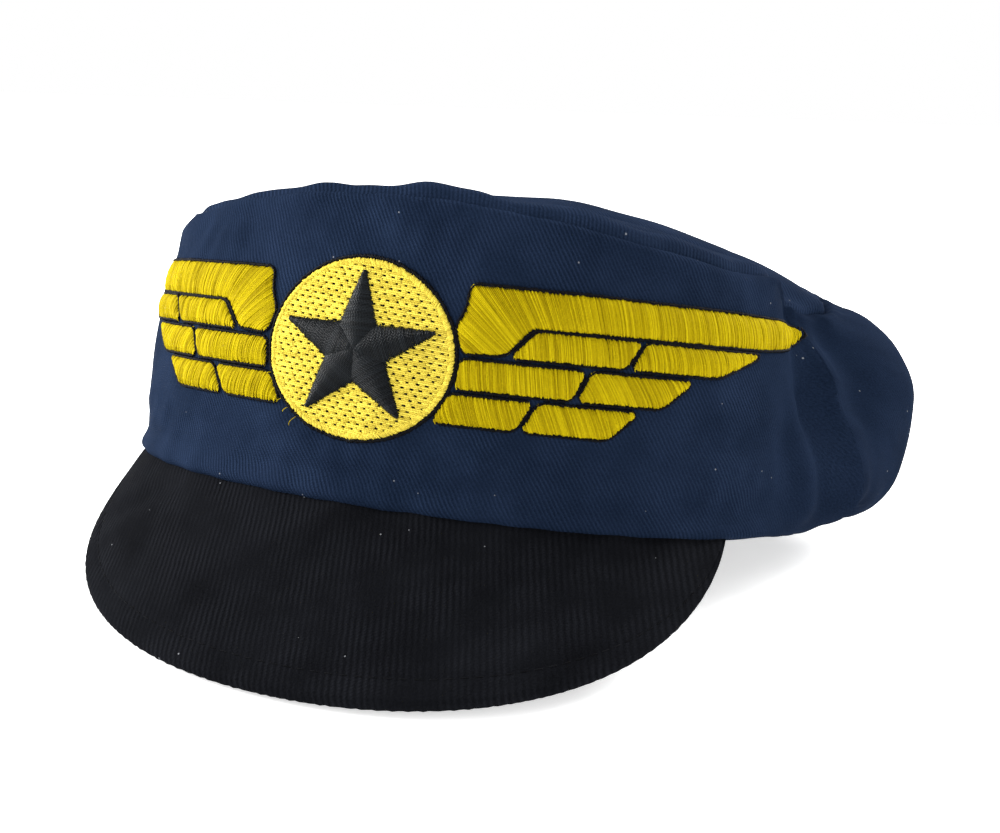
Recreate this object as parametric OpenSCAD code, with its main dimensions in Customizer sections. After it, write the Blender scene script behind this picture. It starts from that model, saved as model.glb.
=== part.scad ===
// Soft peaked cap: a stiff front panel with an embroidered winged star, a full soft back,
// a flat sewn top, and a covered visor that flexes about its front seam.
// Lengths are millimetres. +Z is up and the front of the cap faces -Y.

/* [Head opening] */
// Width of the head opening, side to side
opening_w = 190.4; // [170:0.2:210]
// Depth of the head opening, front to back, as the empty cap lies
opening_d = 136.2; // [120:0.2:170]
// Height of the opening's front edge above the table
front_lift = 30; // [20:0.5:36]
// Height of the opening's back edge above the table
back_lift = 1.5; // [0.5:0.1:6]

/* [Crown] */
// Half width of the seam around the top
tip_half_w = 87.5; // [75:0.5:95]
// Reach of the top seam in front of its side points
tip_front = 61.7; // [50:0.1:70]
// Reach of the top seam behind its side points
tip_back = 94.3; // [80:0.1:105]
// Distance from the opening's middle back to the top seam's side points
tip_set_back = 9.7; // [0:0.1:20]
// Height of the top seam at the front
tip_front_z = 102.7; // [90:0.1:110]
// Height of the top seam at the sides
tip_side_z = 82.7; // [75:0.1:95]
// Height of the top seam at the back
tip_back_z = 80.7; // [70:0.1:90]
// Height of the middle of the top
top_mid_z = 91; // [84:0.5:98]
// Bulge of the stiff front panel
front_bulge = 4.3; // [0:0.1:8]
// How far the top seam drops behind the stiff front
rear_seam_drop = 11.8; // [0:0.1:14]
// How far the top seam flares out behind the stiff front
rear_seam_flare = 13.2; // [0:0.1:16]
// Fullness of the soft back near the opening
back_full_low = 46.4; // [30:0.2:60]
// Fullness of the soft back near the top seam
back_full_high = 46.6; // [30:0.2:60]
// Droop of the soft back below the opening's edge
back_droop = 15; // [0:0.5:20]
// Droop of the soft back's shoulder
shoulder_droop = 9; // [0:0.1:12]

/* [Layers] */
// Thickness of the outer twill
twill_t = 0.9; // [0.6:0.05:1.2]
// Thickness of the front stiffener
stiffener_t = 0.8; // [0.5:0.05:1]
// Thickness of the lining
lining_t = 0.6; // [0.4:0.05:0.8]
// Thickness of the sweatband
sweatband_t = 1.2; // [0.8:0.05:1.6]
// Height of the sweatband
sweatband_h = 27; // [20:0.5:32]
// Clearance between neighbouring layers
layer_gap = 0.3; // [0.25:0.05:0.4]

/* [Visor] */
// Length of the visor at its middle
visor_len = 50; // [40:0.2:58]
// Half angle of the opening that the visor spans
visor_span = 62; // [50:0.5:70]
// Slope of the visor below level, in degrees
visor_slope = 33.8; // [30:0.2:42]
// Sideways flare of the visor
visor_flare = 0.12; // [0:0.01:0.3]
// Squareness of the visor's outline
visor_power = 2.13; // [2:0.01:3]
// Thickness of each visor cover
cover_t = 0.8; // [0.6:0.05:1]
// Thickness of the visor board
board_t = 1.6; // [1:0.1:2]
// Gap between the visor and the crown's edge
visor_gap = 0.9; // [0.6:0.1:1.5]
// Distance of the topstitch from the visor's edge
topstitch_inset = 6.4; // [4:0.1:10]

/* [Badge] */
// Height of the badge's middle above the opening, along the panel
badge_v = 37; // [32:0.5:42]
// Half the badge's width
badge_half_w = 24.4; // [20:0.1:25]
// Half the badge's height
badge_half_h = 21.3; // [18:0.1:22]
// Reach of the star's points as a part of the badge
star_reach = 0.85; // [0.7:0.01:0.9]
// Raised height of the satin stitching
satin_t = 0.7; // [0.4:0.05:1]

/* [Hidden] */

navy = [0.03, 0.05, 0.12];
black = [0.03, 0.03, 0.035];
yellow = [0.93, 0.82, 0.2];
white = [0.9, 0.9, 0.88];
grey = [0.5, 0.5, 0.5];

half_w = opening_w / 2;
half_d = opening_d / 2;

// Steps around half the front panel, around the back panel, and up the wall
front_steps = 27;
back_steps = 32;
wall_steps = 8;

// Depth of each layer below the outer surface
stiffener_o = twill_t + layer_gap;
lining_o = stiffener_o + stiffener_t + layer_gap;
sweatband_gap = 1;
sweatband_o = lining_o + lining_t + sweatband_gap;
lining_top_w = 0.94;
sweatband_foot = 0.6;

// The angle around the opening where the front panel ends, at its foot and how much less at its top
panel_end = 94.7;
panel_end_lean = 4.6;
panel_gap = 0.4;

// The angles between which the stiff front gives way to the soft back, which starts further
// forward at the foot of the wall than above soft_low_w of its height
soft_from_foot = 64;
soft_from = 87;
soft_to = 114;
soft_low_w = 0.62;

// The angles between which the top seam drops and flares, and how much of each is gone at the back
drop_angles = [78, 95];
drop_fade = 0.45;
flare_angles = [87, 98.5];
flare_fade = 0.7;

// Height of each stitched layer above the twill
outline_o = -0.4;
outline_t = 0.3;
feather_o = outline_o - outline_t - 0.15;
disc_t = 0.6;
star_o = outline_o - disc_t - 0.2;

function clamp01(x) = min(1, max(0, x));
function smooth(x, lo, hi) = let (t = clamp01((x - lo) / (hi - lo))) t * t * (3 - 2 * t);
function mix(a, b, t) = a * (1 - t) + b * t;
function unit(v) = v / norm(v);

// ---- the crown's surfaces, about the middle of the head opening ----

// Edge of the head opening at angle t, 0 at the front and 90 at the wearer's left
function rim(t) = [
    half_w * sin(t),
    -half_d * cos(t),
    mix(back_lift, front_lift, (1 + cos(t)) / 2)
];

// Angle away from the front, 0 to 180
function around(t) = 180 - abs(180 - (t + 360) % 360);

// How much of the seam's drop or flare is left at angle t
function rear_share(t, angles, fade) = let (a = around(t))
    smooth(a, angles[0], angles[1]) * (1 - fade * smooth(a, angles[1], 180));

// Seam around the top at angle t
function tip(t) = let (
    c = cos(t),
    reach = c > 0 ? tip_front : tip_back,
    end_z = c > 0 ? tip_front_z : tip_back_z,
    drop = rear_seam_drop * rear_share(t, drop_angles, drop_fade),
    flare = rear_seam_flare * rear_share(t, flare_angles, flare_fade)
) [tip_half_w * sin(t), tip_set_back - reach * c, mix(tip_side_z, end_z, c * c) - drop]
    + outward(t) * flare;

// Level direction out of the crown at angle t
function outward(t) = unit([sin(t) / half_w, -cos(t) / half_d, 0]);

// Softness of the wall, 0 on the stiff front and 1 on the full back
function softness(t, w) = let (
    start = mix(soft_from_foot, soft_from, smooth(w, 0, soft_low_w))
) smooth(around(t), start, soft_to);

// The four control points of the wall's section at angle t, as they stand for fraction w
function wall_frame(t, w) = let (
    r = rim(t),
    p = tip(t),
    n = outward(t),
    s = softness(t, w),
    rise = (p - r) / 3 * (1 - s)
) [
    r,
    r + rise + n * (back_full_low * s + front_bulge) - [0, 0, back_droop * s],
    p - rise + n * (back_full_high * s + front_bulge) - [0, 0, shoulder_droop * s],
    p
];

function bezier(f, w) = f[0] * pow(1 - w, 3) + f[1] * 3 * w * pow(1 - w, 2)
    + f[2] * 3 * w * w * (1 - w) + f[3] * pow(w, 3);

function bezier_slope(f, w) = (f[1] - f[0]) * pow(1 - w, 2)
    + (f[2] - f[1]) * 2 * w * (1 - w) + (f[3] - f[2]) * w * w;

// Point of the wall at angle t and fraction w of its height, o below its outer face
function wall(t, w, o) = let (
    f = wall_frame(t, w),
    n = outward(t),
    d = bezier_slope(f, w),
    dn = d * n,
    face = unit(n * d[2] - [0, 0, dn])
) bezier(f, w) - face * o;

// Angle of the front panel's end at fraction w of the wall's height
function end_angle(w) = panel_end - panel_end_lean * w * w;

// Angle of station i around the ring, whose first stations lie on the front panel; the stations
// stand closer together near the side seams
ring_count = 2 * front_steps + back_steps;
front_crowding = 0.04;
back_crowding = 0.08;
function crowded(f, amount) = f - amount * sin(360 * f);
function ring_angle(i, w) = let (e = end_angle(w))
    i <= 2 * front_steps
        ? mix(-e, e, crowded(i / (2 * front_steps), front_crowding))
        : mix(e, 360 - e, crowded((i - 2 * front_steps) / back_steps, back_crowding));

// Point of the top at angle t and fraction r of the way out, o below its upper face
top_edge_inset = twill_t + 1;
top_gap = 0.55;
top_mid_y = tip_set_back + (tip_back - tip_front) / 2;
top_angles = [0:5:355];
top_rings = [1, 0.94, 0.84, 0.64, 0.36];
top_lining_rings = [0.94, 0.84, 0.64, 0.36];
top_edge_power = 2.7;
function top_point(t, r, o) = let (
    p = tip(t) - outward(t) * top_edge_inset
) [p[0] * r, mix(top_mid_y, p[1], r), mix(top_mid_z, p[2], pow(r, top_edge_power)) - o];
function top_layer(rings, o) = [for (r = rings) [for (t = top_angles) top_point(t, r, o)]];

// Point of the sweatband at angle t and height h, o inside the crown's outer face
function band(t, h, o) = let (
    w = h / norm(tip(t) - rim(t)),
    upright = rim(t) + [0, 0, h] - outward(t) * o
) mix(wall(t, w, o), upright, softness(t, 0));

// ---- badge coordinates: s along the opening's edge from the front, v up the panel ----

arc_steps = 110;
arc_lengths = [
    for (i = 0, s = 0; i <= arc_steps; s = s + norm(rim(i + 1) - rim(i)), i = i + 1) [s, i]
];

function arc_angle(s) = sign(s) * lookup(abs(s), arc_lengths);

function panel_point(s, v, o) = let (t = arc_angle(s)) wall(t, v / norm(tip(t) - rim(t)), o);

// ---- the visor ----

visor_dir_y = -cos(visor_slope);
visor_dir_z = -sin(visor_slope);
visor_end_len = 1.5;

function visor_dir(u) = [visor_flare * sin(visor_span * u), visor_dir_y, visor_dir_z];

function visor_reach(u) = max(visor_end_len, visor_len * sqrt(1 - pow(min(1, abs(u)), visor_power)));

// Upward normal of the visor at fraction u of its half span
function visor_face(u) = let (t = visor_span * u) unit(cross(
    [half_w * cos(t), half_d * sin(t), (back_lift - front_lift) / 2 * sin(t)], -visor_dir(u)
));

// Point of the visor at fraction u of its half span and distance m from its seam, o below its top
function visor_point(u, m, o) = let (t = visor_span * u)
    rim(t) + outward(t) * visor_gap + visor_dir(u) * m - visor_face(u) * o;

// Distance from the seam at which a layer o below the top clears the crown's edge
function visor_root(u, o) = let (n = outward(visor_span * u))
    max(0, o * (n * visor_face(u)) / (n * visor_dir(u)));

// ---- places the model with its lowest point on z = 0 and its box centred on x and y ----

crown_reach = max([for (t = [150:5:180]) for (w = [0:0.05:1]) wall(t, w, 0)[1]]);
visor_front = min([for (m = [0:0.02:1]) visor_point(m, visor_reach(m), 0)[1]]);
visor_low = min([for (m = [0:0.02:1]) visor_point(m, visor_reach(m), visor_stack())[2]]);
crown_low = min([for (t = [90:5:180]) for (w = [0:0.05:1]) wall(t, w, 0)[2]]);
place = [0, -(crown_reach + visor_front) / 2, -min(visor_low, crown_low)];

function visor_stack() = 2 * cover_t + board_t + 2 * layer_gap;

// ---- solids from grids of points ----

// Faces of a grid of quads, rows by cols, whose points start at index at
function grid_faces(rows, cols, at, flip) = [
    for (r = [0:rows - 2]) for (c = [0:cols - 2]) let (
        a = at + r * cols + c,
        b = a + 1,
        d = a + cols,
        e = d + 1
    ) each flip ? [[a, b, d], [b, e, d]] : [[a, d, b], [b, d, e]]
];

// Faces that join two chains of point indices
function strip_faces(p, q) = [
    for (i = [0:len(p) - 2]) each [[p[i], p[i + 1], q[i + 1]], [p[i], q[i + 1], q[i]]]
];

// Solid between an outer and an inner grid, each a list of rows of points
module sheet_solid(outer, inner) {
    rows = len(outer);
    cols = len(outer[0]);
    count = rows * cols;
    low = [for (c = [0:cols - 1]) c];
    high = [for (c = [0:cols - 1]) (rows - 1) * cols + c];
    left = [for (r = [0:rows - 1]) r * cols];
    right = [for (r = [0:rows - 1]) r * cols + cols - 1];
    function under(list) = [for (i = list) i + count];
    translate(place) polyhedron(
        points = [for (row = outer) each row, for (row = inner) each row],
        faces = concat(
            grid_faces(rows, cols, 0, false),
            grid_faces(rows, cols, count, true),
            strip_faces(low, under(low)),
            strip_faces(under(high), high),
            strip_faces(under(left), left),
            strip_faces(right, under(right))
        )
    );
}

// Ring between an outer and an inner grid whose columns run once around, first point not repeated
module ring_solid(outer, inner) {
    rows = len(outer);
    cols = len(outer[0]);
    count = rows * cols;
    function around(r, base) = [for (c = [0:cols]) base + r * cols + c % cols];
    function side(base, flip) = [
        for (r = [0:rows - 2]) each flip
            ? strip_faces(around(r, base), around(r + 1, base))
            : strip_faces(around(r + 1, base), around(r, base))
    ];
    translate(place) polyhedron(
        points = [for (row = outer) each row, for (row = inner) each row],
        faces = concat(
            side(0, false),
            side(count, true),
            strip_faces(around(0, 0), around(0, count)),
            strip_faces(around(rows - 1, count), around(rows - 1, 0))
        )
    );
}

// Disc between rings of points around a middle, listed from the rim inwards
module disc_solid(upper, upper_mid, lower, lower_mid) {
    rings = len(upper);
    cols = len(upper[0]);
    count = rings * cols;
    mid = 2 * count;
    function around(r, base) = [for (c = [0:cols]) base + r * cols + c % cols];
    function side(base, flip) = [
        for (r = [0:1:rings - 2]) each flip
            ? strip_faces(around(r, base), around(r + 1, base))
            : strip_faces(around(r + 1, base), around(r, base))
    ];
    function cap(base, tip_index, flip) = let (ring = around(rings - 1, base)) [
        for (c = [0:cols - 1]) flip
            ? [ring[c], ring[c + 1], tip_index]
            : [ring[c + 1], ring[c], tip_index]
    ];
    translate(place) polyhedron(
        points = [
            for (row = upper) each row,
            for (row = lower) each row,
            upper_mid,
            lower_mid
        ],
        faces = concat(
            side(0, false),
            side(count, true),
            cap(0, mid, false),
            cap(count, mid + 1, true),
            strip_faces(around(0, 0), around(0, count))
        )
    );
}

// Heights, as fractions of the wall's, that every layer shares between low and high
function levels(low, high) = [
    low,
    for (j = [1:wall_steps - 1]) if (j / wall_steps > low + 0.02 && j / wall_steps < high - 0.02)
        j / wall_steps,
    high
];

// Part of the wall between two stations, two heights and two depths
module wall_part(from, to, low, high, o_outer, o_inner, trim = 0) {
    function layer(o) = [
        for (w = levels(low, high)) [
            for (i = [from:to]) let (
                shift = i == from ? trim : i == to ? -trim : 0
            ) wall(ring_angle(i, w) + shift, w, o)
        ]
    ];
    sheet_solid(layer(o_outer), layer(o_inner));
}

// Strip on the front panel between a lower and an upper outline, each a list of [s, v]
module stitched_strip(lower, upper, o, thick) {
    rows = 3;
    function layer(depth) = [
        for (j = [0:rows]) [
            for (i = [0:len(lower) - 1]) let (p = mix(lower[i], upper[i], j / rows))
                panel_point(p[0], p[1], depth)
        ]
    ];
    sheet_solid(layer(o - thick), layer(o));
}

// Part of the visor between two depths, edge short of its outline, out to fraction u_end
module visor_part(o_top, o_bottom, edge, u_end, root = 0) {
    steps = 24;
    rows = 4;
    function layer(o) = [
        for (j = [0:rows]) [
            for (i = [-steps:steps]) let (
                u = u_end * sin(90 * i / steps),
                near = root + visor_root(u, o),
                far = max(near + visor_end_len, visor_reach(u) - edge)
            ) visor_point(u, mix(near, far, j / rows), o)
        ]
    ];
    sheet_solid(layer(o_bottom), layer(o_top));
}

// ---- crown ----

module crown_top() {
    color(navy) disc_solid(
        top_layer(top_rings, 0), top_point(0, 0, 0),
        top_layer(top_rings, twill_t), top_point(0, 0, twill_t)
    );
}

module front_panel() {
    color(navy) wall_part(0, 2 * front_steps, 0, 1, 0, twill_t);
}

module back_panel() {
    color(navy) wall_part(2 * front_steps, ring_count, 0, 1, 0, twill_t, panel_gap);
}

module front_stiffener() {
    margin = 4;
    color(grey) wall_part(
        margin, 2 * front_steps - margin, 1 / wall_steps, 0.93,
        stiffener_o, stiffener_o + stiffener_t
    );
}

module side_lining() {
    function layer(o) = [
        for (w = levels(0.01, lining_top_w)) [
            for (i = [0:ring_count - 1]) wall(ring_angle(i, w), w, o)
        ]
    ];
    color(black) ring_solid(layer(lining_o), layer(lining_o + lining_t));
}

module top_lining() {
    upper = twill_t + top_gap;
    lower = upper + lining_t;
    color(black) disc_solid(
        top_layer(top_lining_rings, upper), top_point(0, 0, upper),
        top_layer(top_lining_rings, lower), top_point(0, 0, lower)
    );
}

module top_seam_tape() {
    rings = [0.99, 0.95];
    upper = twill_t + top_gap;
    tape_t = 0.8;
    color(black) ring_solid(top_layer(rings, upper), top_layer(rings, upper + tape_t));
}

// Tape over the seam between the front and back panels, side 1 or -1
module side_seam_tape(side) {
    tape_t = 0.5;
    tape_o = stiffener_o + 0.1;
    stations = side > 0 ? [-2, -1, 0, 1, 2] : [2, 1, 0, -1, -2];
    function layer(o) = [
        for (w = levels(1 / wall_steps, 0.9)) [
            for (k = stations) wall(side * ring_angle(2 * front_steps + k, w), w, o)
        ]
    ];
    color(black) sheet_solid(layer(tape_o), layer(tape_o + tape_t));
}

module side_seam_tape_left() {
    side_seam_tape(1);
}

module side_seam_tape_right() {
    side_seam_tape(-1);
}

module sweatband() {
    function layer(o) = [
        for (h = [sweatband_foot, 7, 14, sweatband_h]) [
            for (t = [0:5:355]) band(t, h, o)
        ]
    ];
    color(black) ring_solid(layer(sweatband_o), layer(sweatband_o + sweatband_t));
}

module back_elastic() {
    half_span = 55;
    elastic_o = 1;
    elastic_t = 1.4;
    function layer(o) = [
        for (h = [6, 22]) [for (t = [180 - half_span:5:180 + half_span]) band(t, h, o)]
    ];
    color(white) sheet_solid(layer(elastic_o), layer(elastic_o + elastic_t));
}

module care_label() {
    half_span = 8;
    label_o = sweatband_o + sweatband_t + layer_gap;
    label_t = 0.4;
    function layer(o) = [
        for (h = [9, 24]) [for (t = [180 - half_span:4:180 + half_span]) band(t, h, o)]
    ];
    color(white) sheet_solid(layer(label_o), layer(label_o + label_t));
}

// ---- embroidery ----

// Point of the badge at angle a, fraction f of the way to its edge and then grow further out
function badge_point(a, f, grow, depth) = panel_point(
    (badge_half_w * f + grow) * cos(a), badge_v + (badge_half_h * f + grow) * sin(a), depth
);
badge_sides = 40;
function badge_ring(f, grow, depth) = [
    for (i = [0:badge_sides - 1]) badge_point(360 * i / badge_sides, f, grow, depth)
];

module badge_outline() {
    edges = [0.25, 1.2];
    function layer(depth) = [for (grow = edges) badge_ring(1, grow, depth)];
    color(black) ring_solid(layer(outline_o), layer(outline_o - disc_t));
}

module badge_disc() {
    function layer(depth) = [for (f = [1, 0.7, 0.35]) badge_ring(f, 0, depth)];
    top_o = outline_o - disc_t;
    color(yellow) disc_solid(
        layer(top_o), badge_point(0, 0, 0, top_o), layer(outline_o), badge_point(0, 0, 0, outline_o)
    );
}

module badge_star() {
    points = 5;
    notch = 0.42;
    edge_t = 0.5;
    ridge_t = 1.1;
    function ring(f, depth) = [
        for (i = [0:2 * points - 1]) badge_point(
            90 + 180 * i / points, star_reach * f * (i % 2 == 0 ? 1 : notch), 0, depth
        )
    ];
    fractions = [1, 0.75, 0.5, 0.25];
    color(black) disc_solid(
        [for (f = fractions) ring(f, star_o - mix(ridge_t, edge_t, f))],
        panel_point(0, badge_v, star_o - ridge_t),
        [for (f = fractions) ring(f, star_o)],
        panel_point(0, badge_v, star_o)
    );
}

// The wing's feathers below the long one: [inner foot, inner head, outer foot, outer head] along
// the panel, then the heights of the row's foot and head
rows = [[39, 45.2], [30.6, 37.3], [22.3, 29]];
dividers = [[65.2, 69.1], [52.8, 55.8], [40.2, 43.9]];
inner_ends = [[37.6, 43.4], [26.6, 26.9], [21.6, 25.6]];
outer_ends = [[89.4, 105.6], [73.7, 82], [60.9, 67.9]];
divider_half = 0.8;

// The long top feather's outline: heights of its foot and head against distance along the panel
long_foot = [[26.6, 39], [36.2, 39.2], [42.6, 46.4], [109, 46.6], [122, 48.6], [126.4, 49.8]];
long_head = [[26.6, 54.2], [42, 54.2], [116, 53.5], [124, 52.6], [126.4, 51.6]];
long_stations = [
    26.6, 31, 36.2, 39.4, 42.6, each [48:5.5:104], 109, 112.5, each [116:2.6:126.4]
];

// Feather k of a wing, 0 for the long one, then two in each row from the top; side is 1 or -1
module feather(k, side) {
    if (k == 0) {
        lower = [for (s = long_stations) [side * s, lookup(s, long_foot)]];
        upper = [for (s = long_stations) [side * s, lookup(s, long_head)]];
        color(yellow) sided_strip(lower, upper, side);
    } else {
        row = floor((k - 1) / 2);
        outer_half = (k - 1) % 2 == 1;
        d = dividers[row];
        shift = [divider_half, divider_half];
        from = outer_half ? d + shift : inner_ends[row];
        to = outer_half ? outer_ends[row] : d - shift;
        steps = 6;
        lower = [for (i = [0:steps]) [side * mix(from[0], to[0], i / steps), rows[row][0]]];
        upper = [for (i = [0:steps]) [side * mix(from[1], to[1], i / steps), rows[row][1]]];
        color(yellow) sided_strip(lower, upper, side);
    }
}

function reversed(list) = [for (i = [len(list) - 1:-1:0]) list[i]];

module sided_strip(lower, upper, side, o = feather_o, thick = satin_t) {
    stitched_strip(
        side > 0 ? lower : reversed(lower), side > 0 ? upper : reversed(upper), o, thick
    );
}

// Black ground that shows between the feathers, one strip to a row
module wing_outline(side) {
    border = 0.9;
    steps = 14;
    color(black) {
        lower = [for (s = long_stations) [side * s, lookup(s, long_foot) - 0.1]];
        upper = [for (s = long_stations) [side * s, lookup(s, long_head) + border]];
        sided_strip(lower, upper, side, outline_o, outline_t);
        for (row = [0:2]) {
            foot = rows[row][0] - (row == 2 ? border : 0.6);
            head = rows[row][1] + 0.6;
            from = inner_ends[row] - [0.4, 0.4];
            to = outer_ends[row] + [border, border];
            sided_strip(
                [for (i = [0:steps]) [side * mix(from[0], to[0], i / steps), foot]],
                [for (i = [0:steps]) [side * mix(from[1], to[1], i / steps), head]],
                side, outline_o, outline_t
            );
        }
    }
}

module wing_outline_left() {
    wing_outline(1);
}

module wing_outline_right() {
    wing_outline(-1);
}

// ---- visor ----

board_o = cover_t + layer_gap;
under_o = board_o + board_t + layer_gap;

module visor_top_cover() {
    color(black) visor_part(0, cover_t, 0, 1);
}

module visor_board() {
    color(grey) visor_part(board_o, board_o + board_t, 1.5, 0.93, 1);
}

module visor_under_cover() {
    color(black) visor_part(under_o, under_o + cover_t, 0, 1);
}

module visor_topstitch() {
    thread_w = 0.8;
    thread_t = 0.5;
    steps = 24;
    function layer(o) = [
        for (m = [topstitch_inset + thread_w, topstitch_inset]) [
            for (i = [-steps:steps]) let (u = 0.93 * sin(90 * i / steps))
                visor_point(u, visor_reach(u) - m, o)
        ]
    ];
    color(black) sheet_solid(layer(-0.2), layer(-0.2 - thread_t));
}

crown_top();
front_panel();
back_panel();
front_stiffener();
side_lining();
top_lining();
top_seam_tape();
side_seam_tape_left();
side_seam_tape_right();
sweatband();
back_elastic();
care_label();
badge_outline();
badge_disc();
badge_star();
wing_outline_left();
wing_outline_right();
for (k = [0:6]) {
    feather(k, 1);
    feather(k, -1);
}
visor_top_cover();
visor_under_cover();
visor_board();
visor_topstitch();
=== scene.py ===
import math

import bpy
import numpy as np
from mathutils import Matrix, Vector


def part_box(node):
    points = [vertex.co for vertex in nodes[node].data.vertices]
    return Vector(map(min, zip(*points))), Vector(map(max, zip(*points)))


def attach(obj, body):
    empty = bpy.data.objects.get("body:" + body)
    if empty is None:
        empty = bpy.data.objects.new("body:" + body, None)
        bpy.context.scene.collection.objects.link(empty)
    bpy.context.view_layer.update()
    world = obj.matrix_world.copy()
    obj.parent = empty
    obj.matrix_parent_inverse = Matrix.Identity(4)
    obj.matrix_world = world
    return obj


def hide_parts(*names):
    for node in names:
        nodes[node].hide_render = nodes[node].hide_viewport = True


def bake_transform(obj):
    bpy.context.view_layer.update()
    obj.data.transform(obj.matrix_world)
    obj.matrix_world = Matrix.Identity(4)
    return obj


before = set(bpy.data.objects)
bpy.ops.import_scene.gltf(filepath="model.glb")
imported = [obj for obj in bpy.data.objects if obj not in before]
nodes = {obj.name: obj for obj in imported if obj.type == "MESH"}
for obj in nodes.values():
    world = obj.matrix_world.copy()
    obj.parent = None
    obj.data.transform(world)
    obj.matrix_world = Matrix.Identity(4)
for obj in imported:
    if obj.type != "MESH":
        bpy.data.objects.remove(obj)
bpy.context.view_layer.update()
MM = 0.001

# ---- shape of the cap, in millimetres about the middle of the head opening, as in the CAD ----

HALF_W = 95.2
HALF_D = 68.1
FRONT_LIFT = 30.0
BACK_LIFT = 1.5
TIP_HALF_W = 87.5
TIP_FRONT = 61.7
TIP_BACK = 94.3
TIP_SET_BACK = 9.7
TIP_FRONT_Z = 102.7
TIP_SIDE_Z = 82.7
TIP_BACK_Z = 80.7
TOP_MID_Y = TIP_SET_BACK + (TIP_BACK - TIP_FRONT) / 2
TOP_MID_Z = 95.8
TOP_POWER = 2.1
REAR_SEAM_DROP = 11.8
REAR_SEAM_FLARE = 13.2
FRONT_BULGE = 4.3
BACK_FULL_LOW = 46.4
BACK_FULL_HIGH = 46.6
BACK_DROOP = 15.0
SHOULDER_DROOP = 9.0
BACK_WIDTH = 400
SOFT_FROM = 87.0
SOFT_FROM_FOOT = 64.0
SOFT_TO = 114.0
PANEL_END = 95.5
PANEL_END_LEAN = 6.5
PANEL_HANG = 0.018
STIFF_GAP = 0.45
INNER_RELIEF = 0.6
MM_PER_DEGREE = 1.55
RIM_MM_PER_DEGREE = 1.44
TWILL_T = 0.9
LINING_O = 2.3
LINING_T = 0.6
TOP_LINING_O = 2.1
SWEATBAND_O = 3.9
SWEATBAND_T = 1.2
SWEATBAND_H = 27.0
VISOR_LEN = 50.0
VISOR_SPAN = 62.0
VISOR_SLOPE = 33.8
VISOR_FLARE = 0.12
VISOR_POWER = 2.13
VISOR_GAP = 0.9
VISOR_THICK = 3.8
VISOR_HALF_RUN = 80
UNDER_RELIEF = 0.4
BOARD_O = 1.15
BOARD_END_O = 2.65
BOARD_INSET = 2.6
COVER_T = 0.7
NOSE = VISOR_THICK / 2
TOPSTITCH_INSET = 6.4
BADGE_V = 37.0
BADGE_W = 24.4
BADGE_H = 21.3
BADGE_S = 0.2
STAR_W = 20.6
STAR_H = 18.5
STAR_NOTCH = 0.415
STAR_ROW = 0.0185
THREAD_PITCH = 0.29
THREAD_SIDES = 6
STITCH_RAGGED = 0.36
FEATHER_RISE = 0.95
FEATHER_HALF_W = 0.195
BORDER_PITCH = 0.40
RING_PITCH = 0.37
BORDER_OFFSET = 0.38
EDGE_ANGLE = math.radians(50)


def sind(a):
    return np.sin(np.radians(a))


def cosd(a):
    return np.cos(np.radians(a))


def mix(a, b, f):
    return a + (b - a) * f


def ease(x, low, high):
    f = np.clip((np.asarray(x, float) - low) / (high - low), 0, 1)
    return f * f * (3 - 2 * f)


def bell(x, centre, width):
    """1 at the centre, falling away to nothing some two widths from it."""
    return np.exp(-(((x - centre) / width) ** 2))


def fade(x, length, power=1.5):
    """1 where x is 0, falling away over about length."""
    return np.exp(-((x / length) ** power))


def hump(f, power):
    """0 at both ends of 0 to 1 and 1 in the middle; flatter with a higher power."""
    return 1 - np.abs(2 * f - 1) ** power


def unit(v):
    return v / np.maximum(np.linalg.norm(v, axis=-1, keepdims=True), 1e-12)


def cross2(a, b):
    return a[..., 0] * b[..., 1] - a[..., 1] * b[..., 0]


def axes(angle):
    """Unit directions along an angle in radians and a quarter turn from it."""
    c, s = math.cos(angle), math.sin(angle)
    return np.array([c, s]), np.array([-s, c])


def together(*parts):
    return np.broadcast_arrays(*[np.asarray(p, float) for p in parts])


def vec(*parts):
    return np.stack(together(*parts), -1)


def run_length(path):
    """Length from the first row of points to each row."""
    step = np.linalg.norm(np.diff(path, axis=0), axis=-1)
    return np.concatenate([np.zeros_like(step[:1]), np.cumsum(step, 0)])


def rim(t):
    lift = mix(BACK_LIFT, FRONT_LIFT, (1 + cosd(t)) / 2)
    return vec(HALF_W * sind(t), -HALF_D * cosd(t), lift)


def outward(t):
    return unit(vec(sind(t) / HALF_W, -cosd(t) / HALF_D, 0))


def around(t):
    """Angle away from the front, 0 to 180."""
    return 180 - np.abs(180 - np.mod(np.asarray(t, float) + 360, 360))


def rear_share(t, start, end, fade):
    """How much of the top seam's drop or flare is left at angle t."""
    a = around(t)
    return ease(a, start, end) * (1 - fade * ease(a, end, 180))


def tip(t):
    """Seam around the top, which drops and flares behind the stiff front."""
    c = cosd(t)
    reach = np.where(c > 0, TIP_FRONT, TIP_BACK)
    end_z = np.where(c > 0, TIP_FRONT_Z, TIP_BACK_Z)
    level = mix(TIP_SIDE_Z, end_z, c * c) - REAR_SEAM_DROP * rear_share(t, 78, 95, 0.45)
    flare = REAR_SEAM_FLARE * rear_share(t, 87, 98.5, 0.7)
    seam = vec(TIP_HALF_W * sind(t), TIP_SET_BACK - reach * c, level)
    return seam + outward(t) * flare[..., None]


def softness(t, w=0.0):
    """0 on the stiff front and 1 on the full back; the fullness starts further forward low down."""
    start = mix(SOFT_FROM_FOOT, SOFT_FROM, ease(w, 0.0, 0.62))
    return ease(around(t), start, SOFT_TO)


UP = np.array([0.0, 0.0, 1.0])


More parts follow.
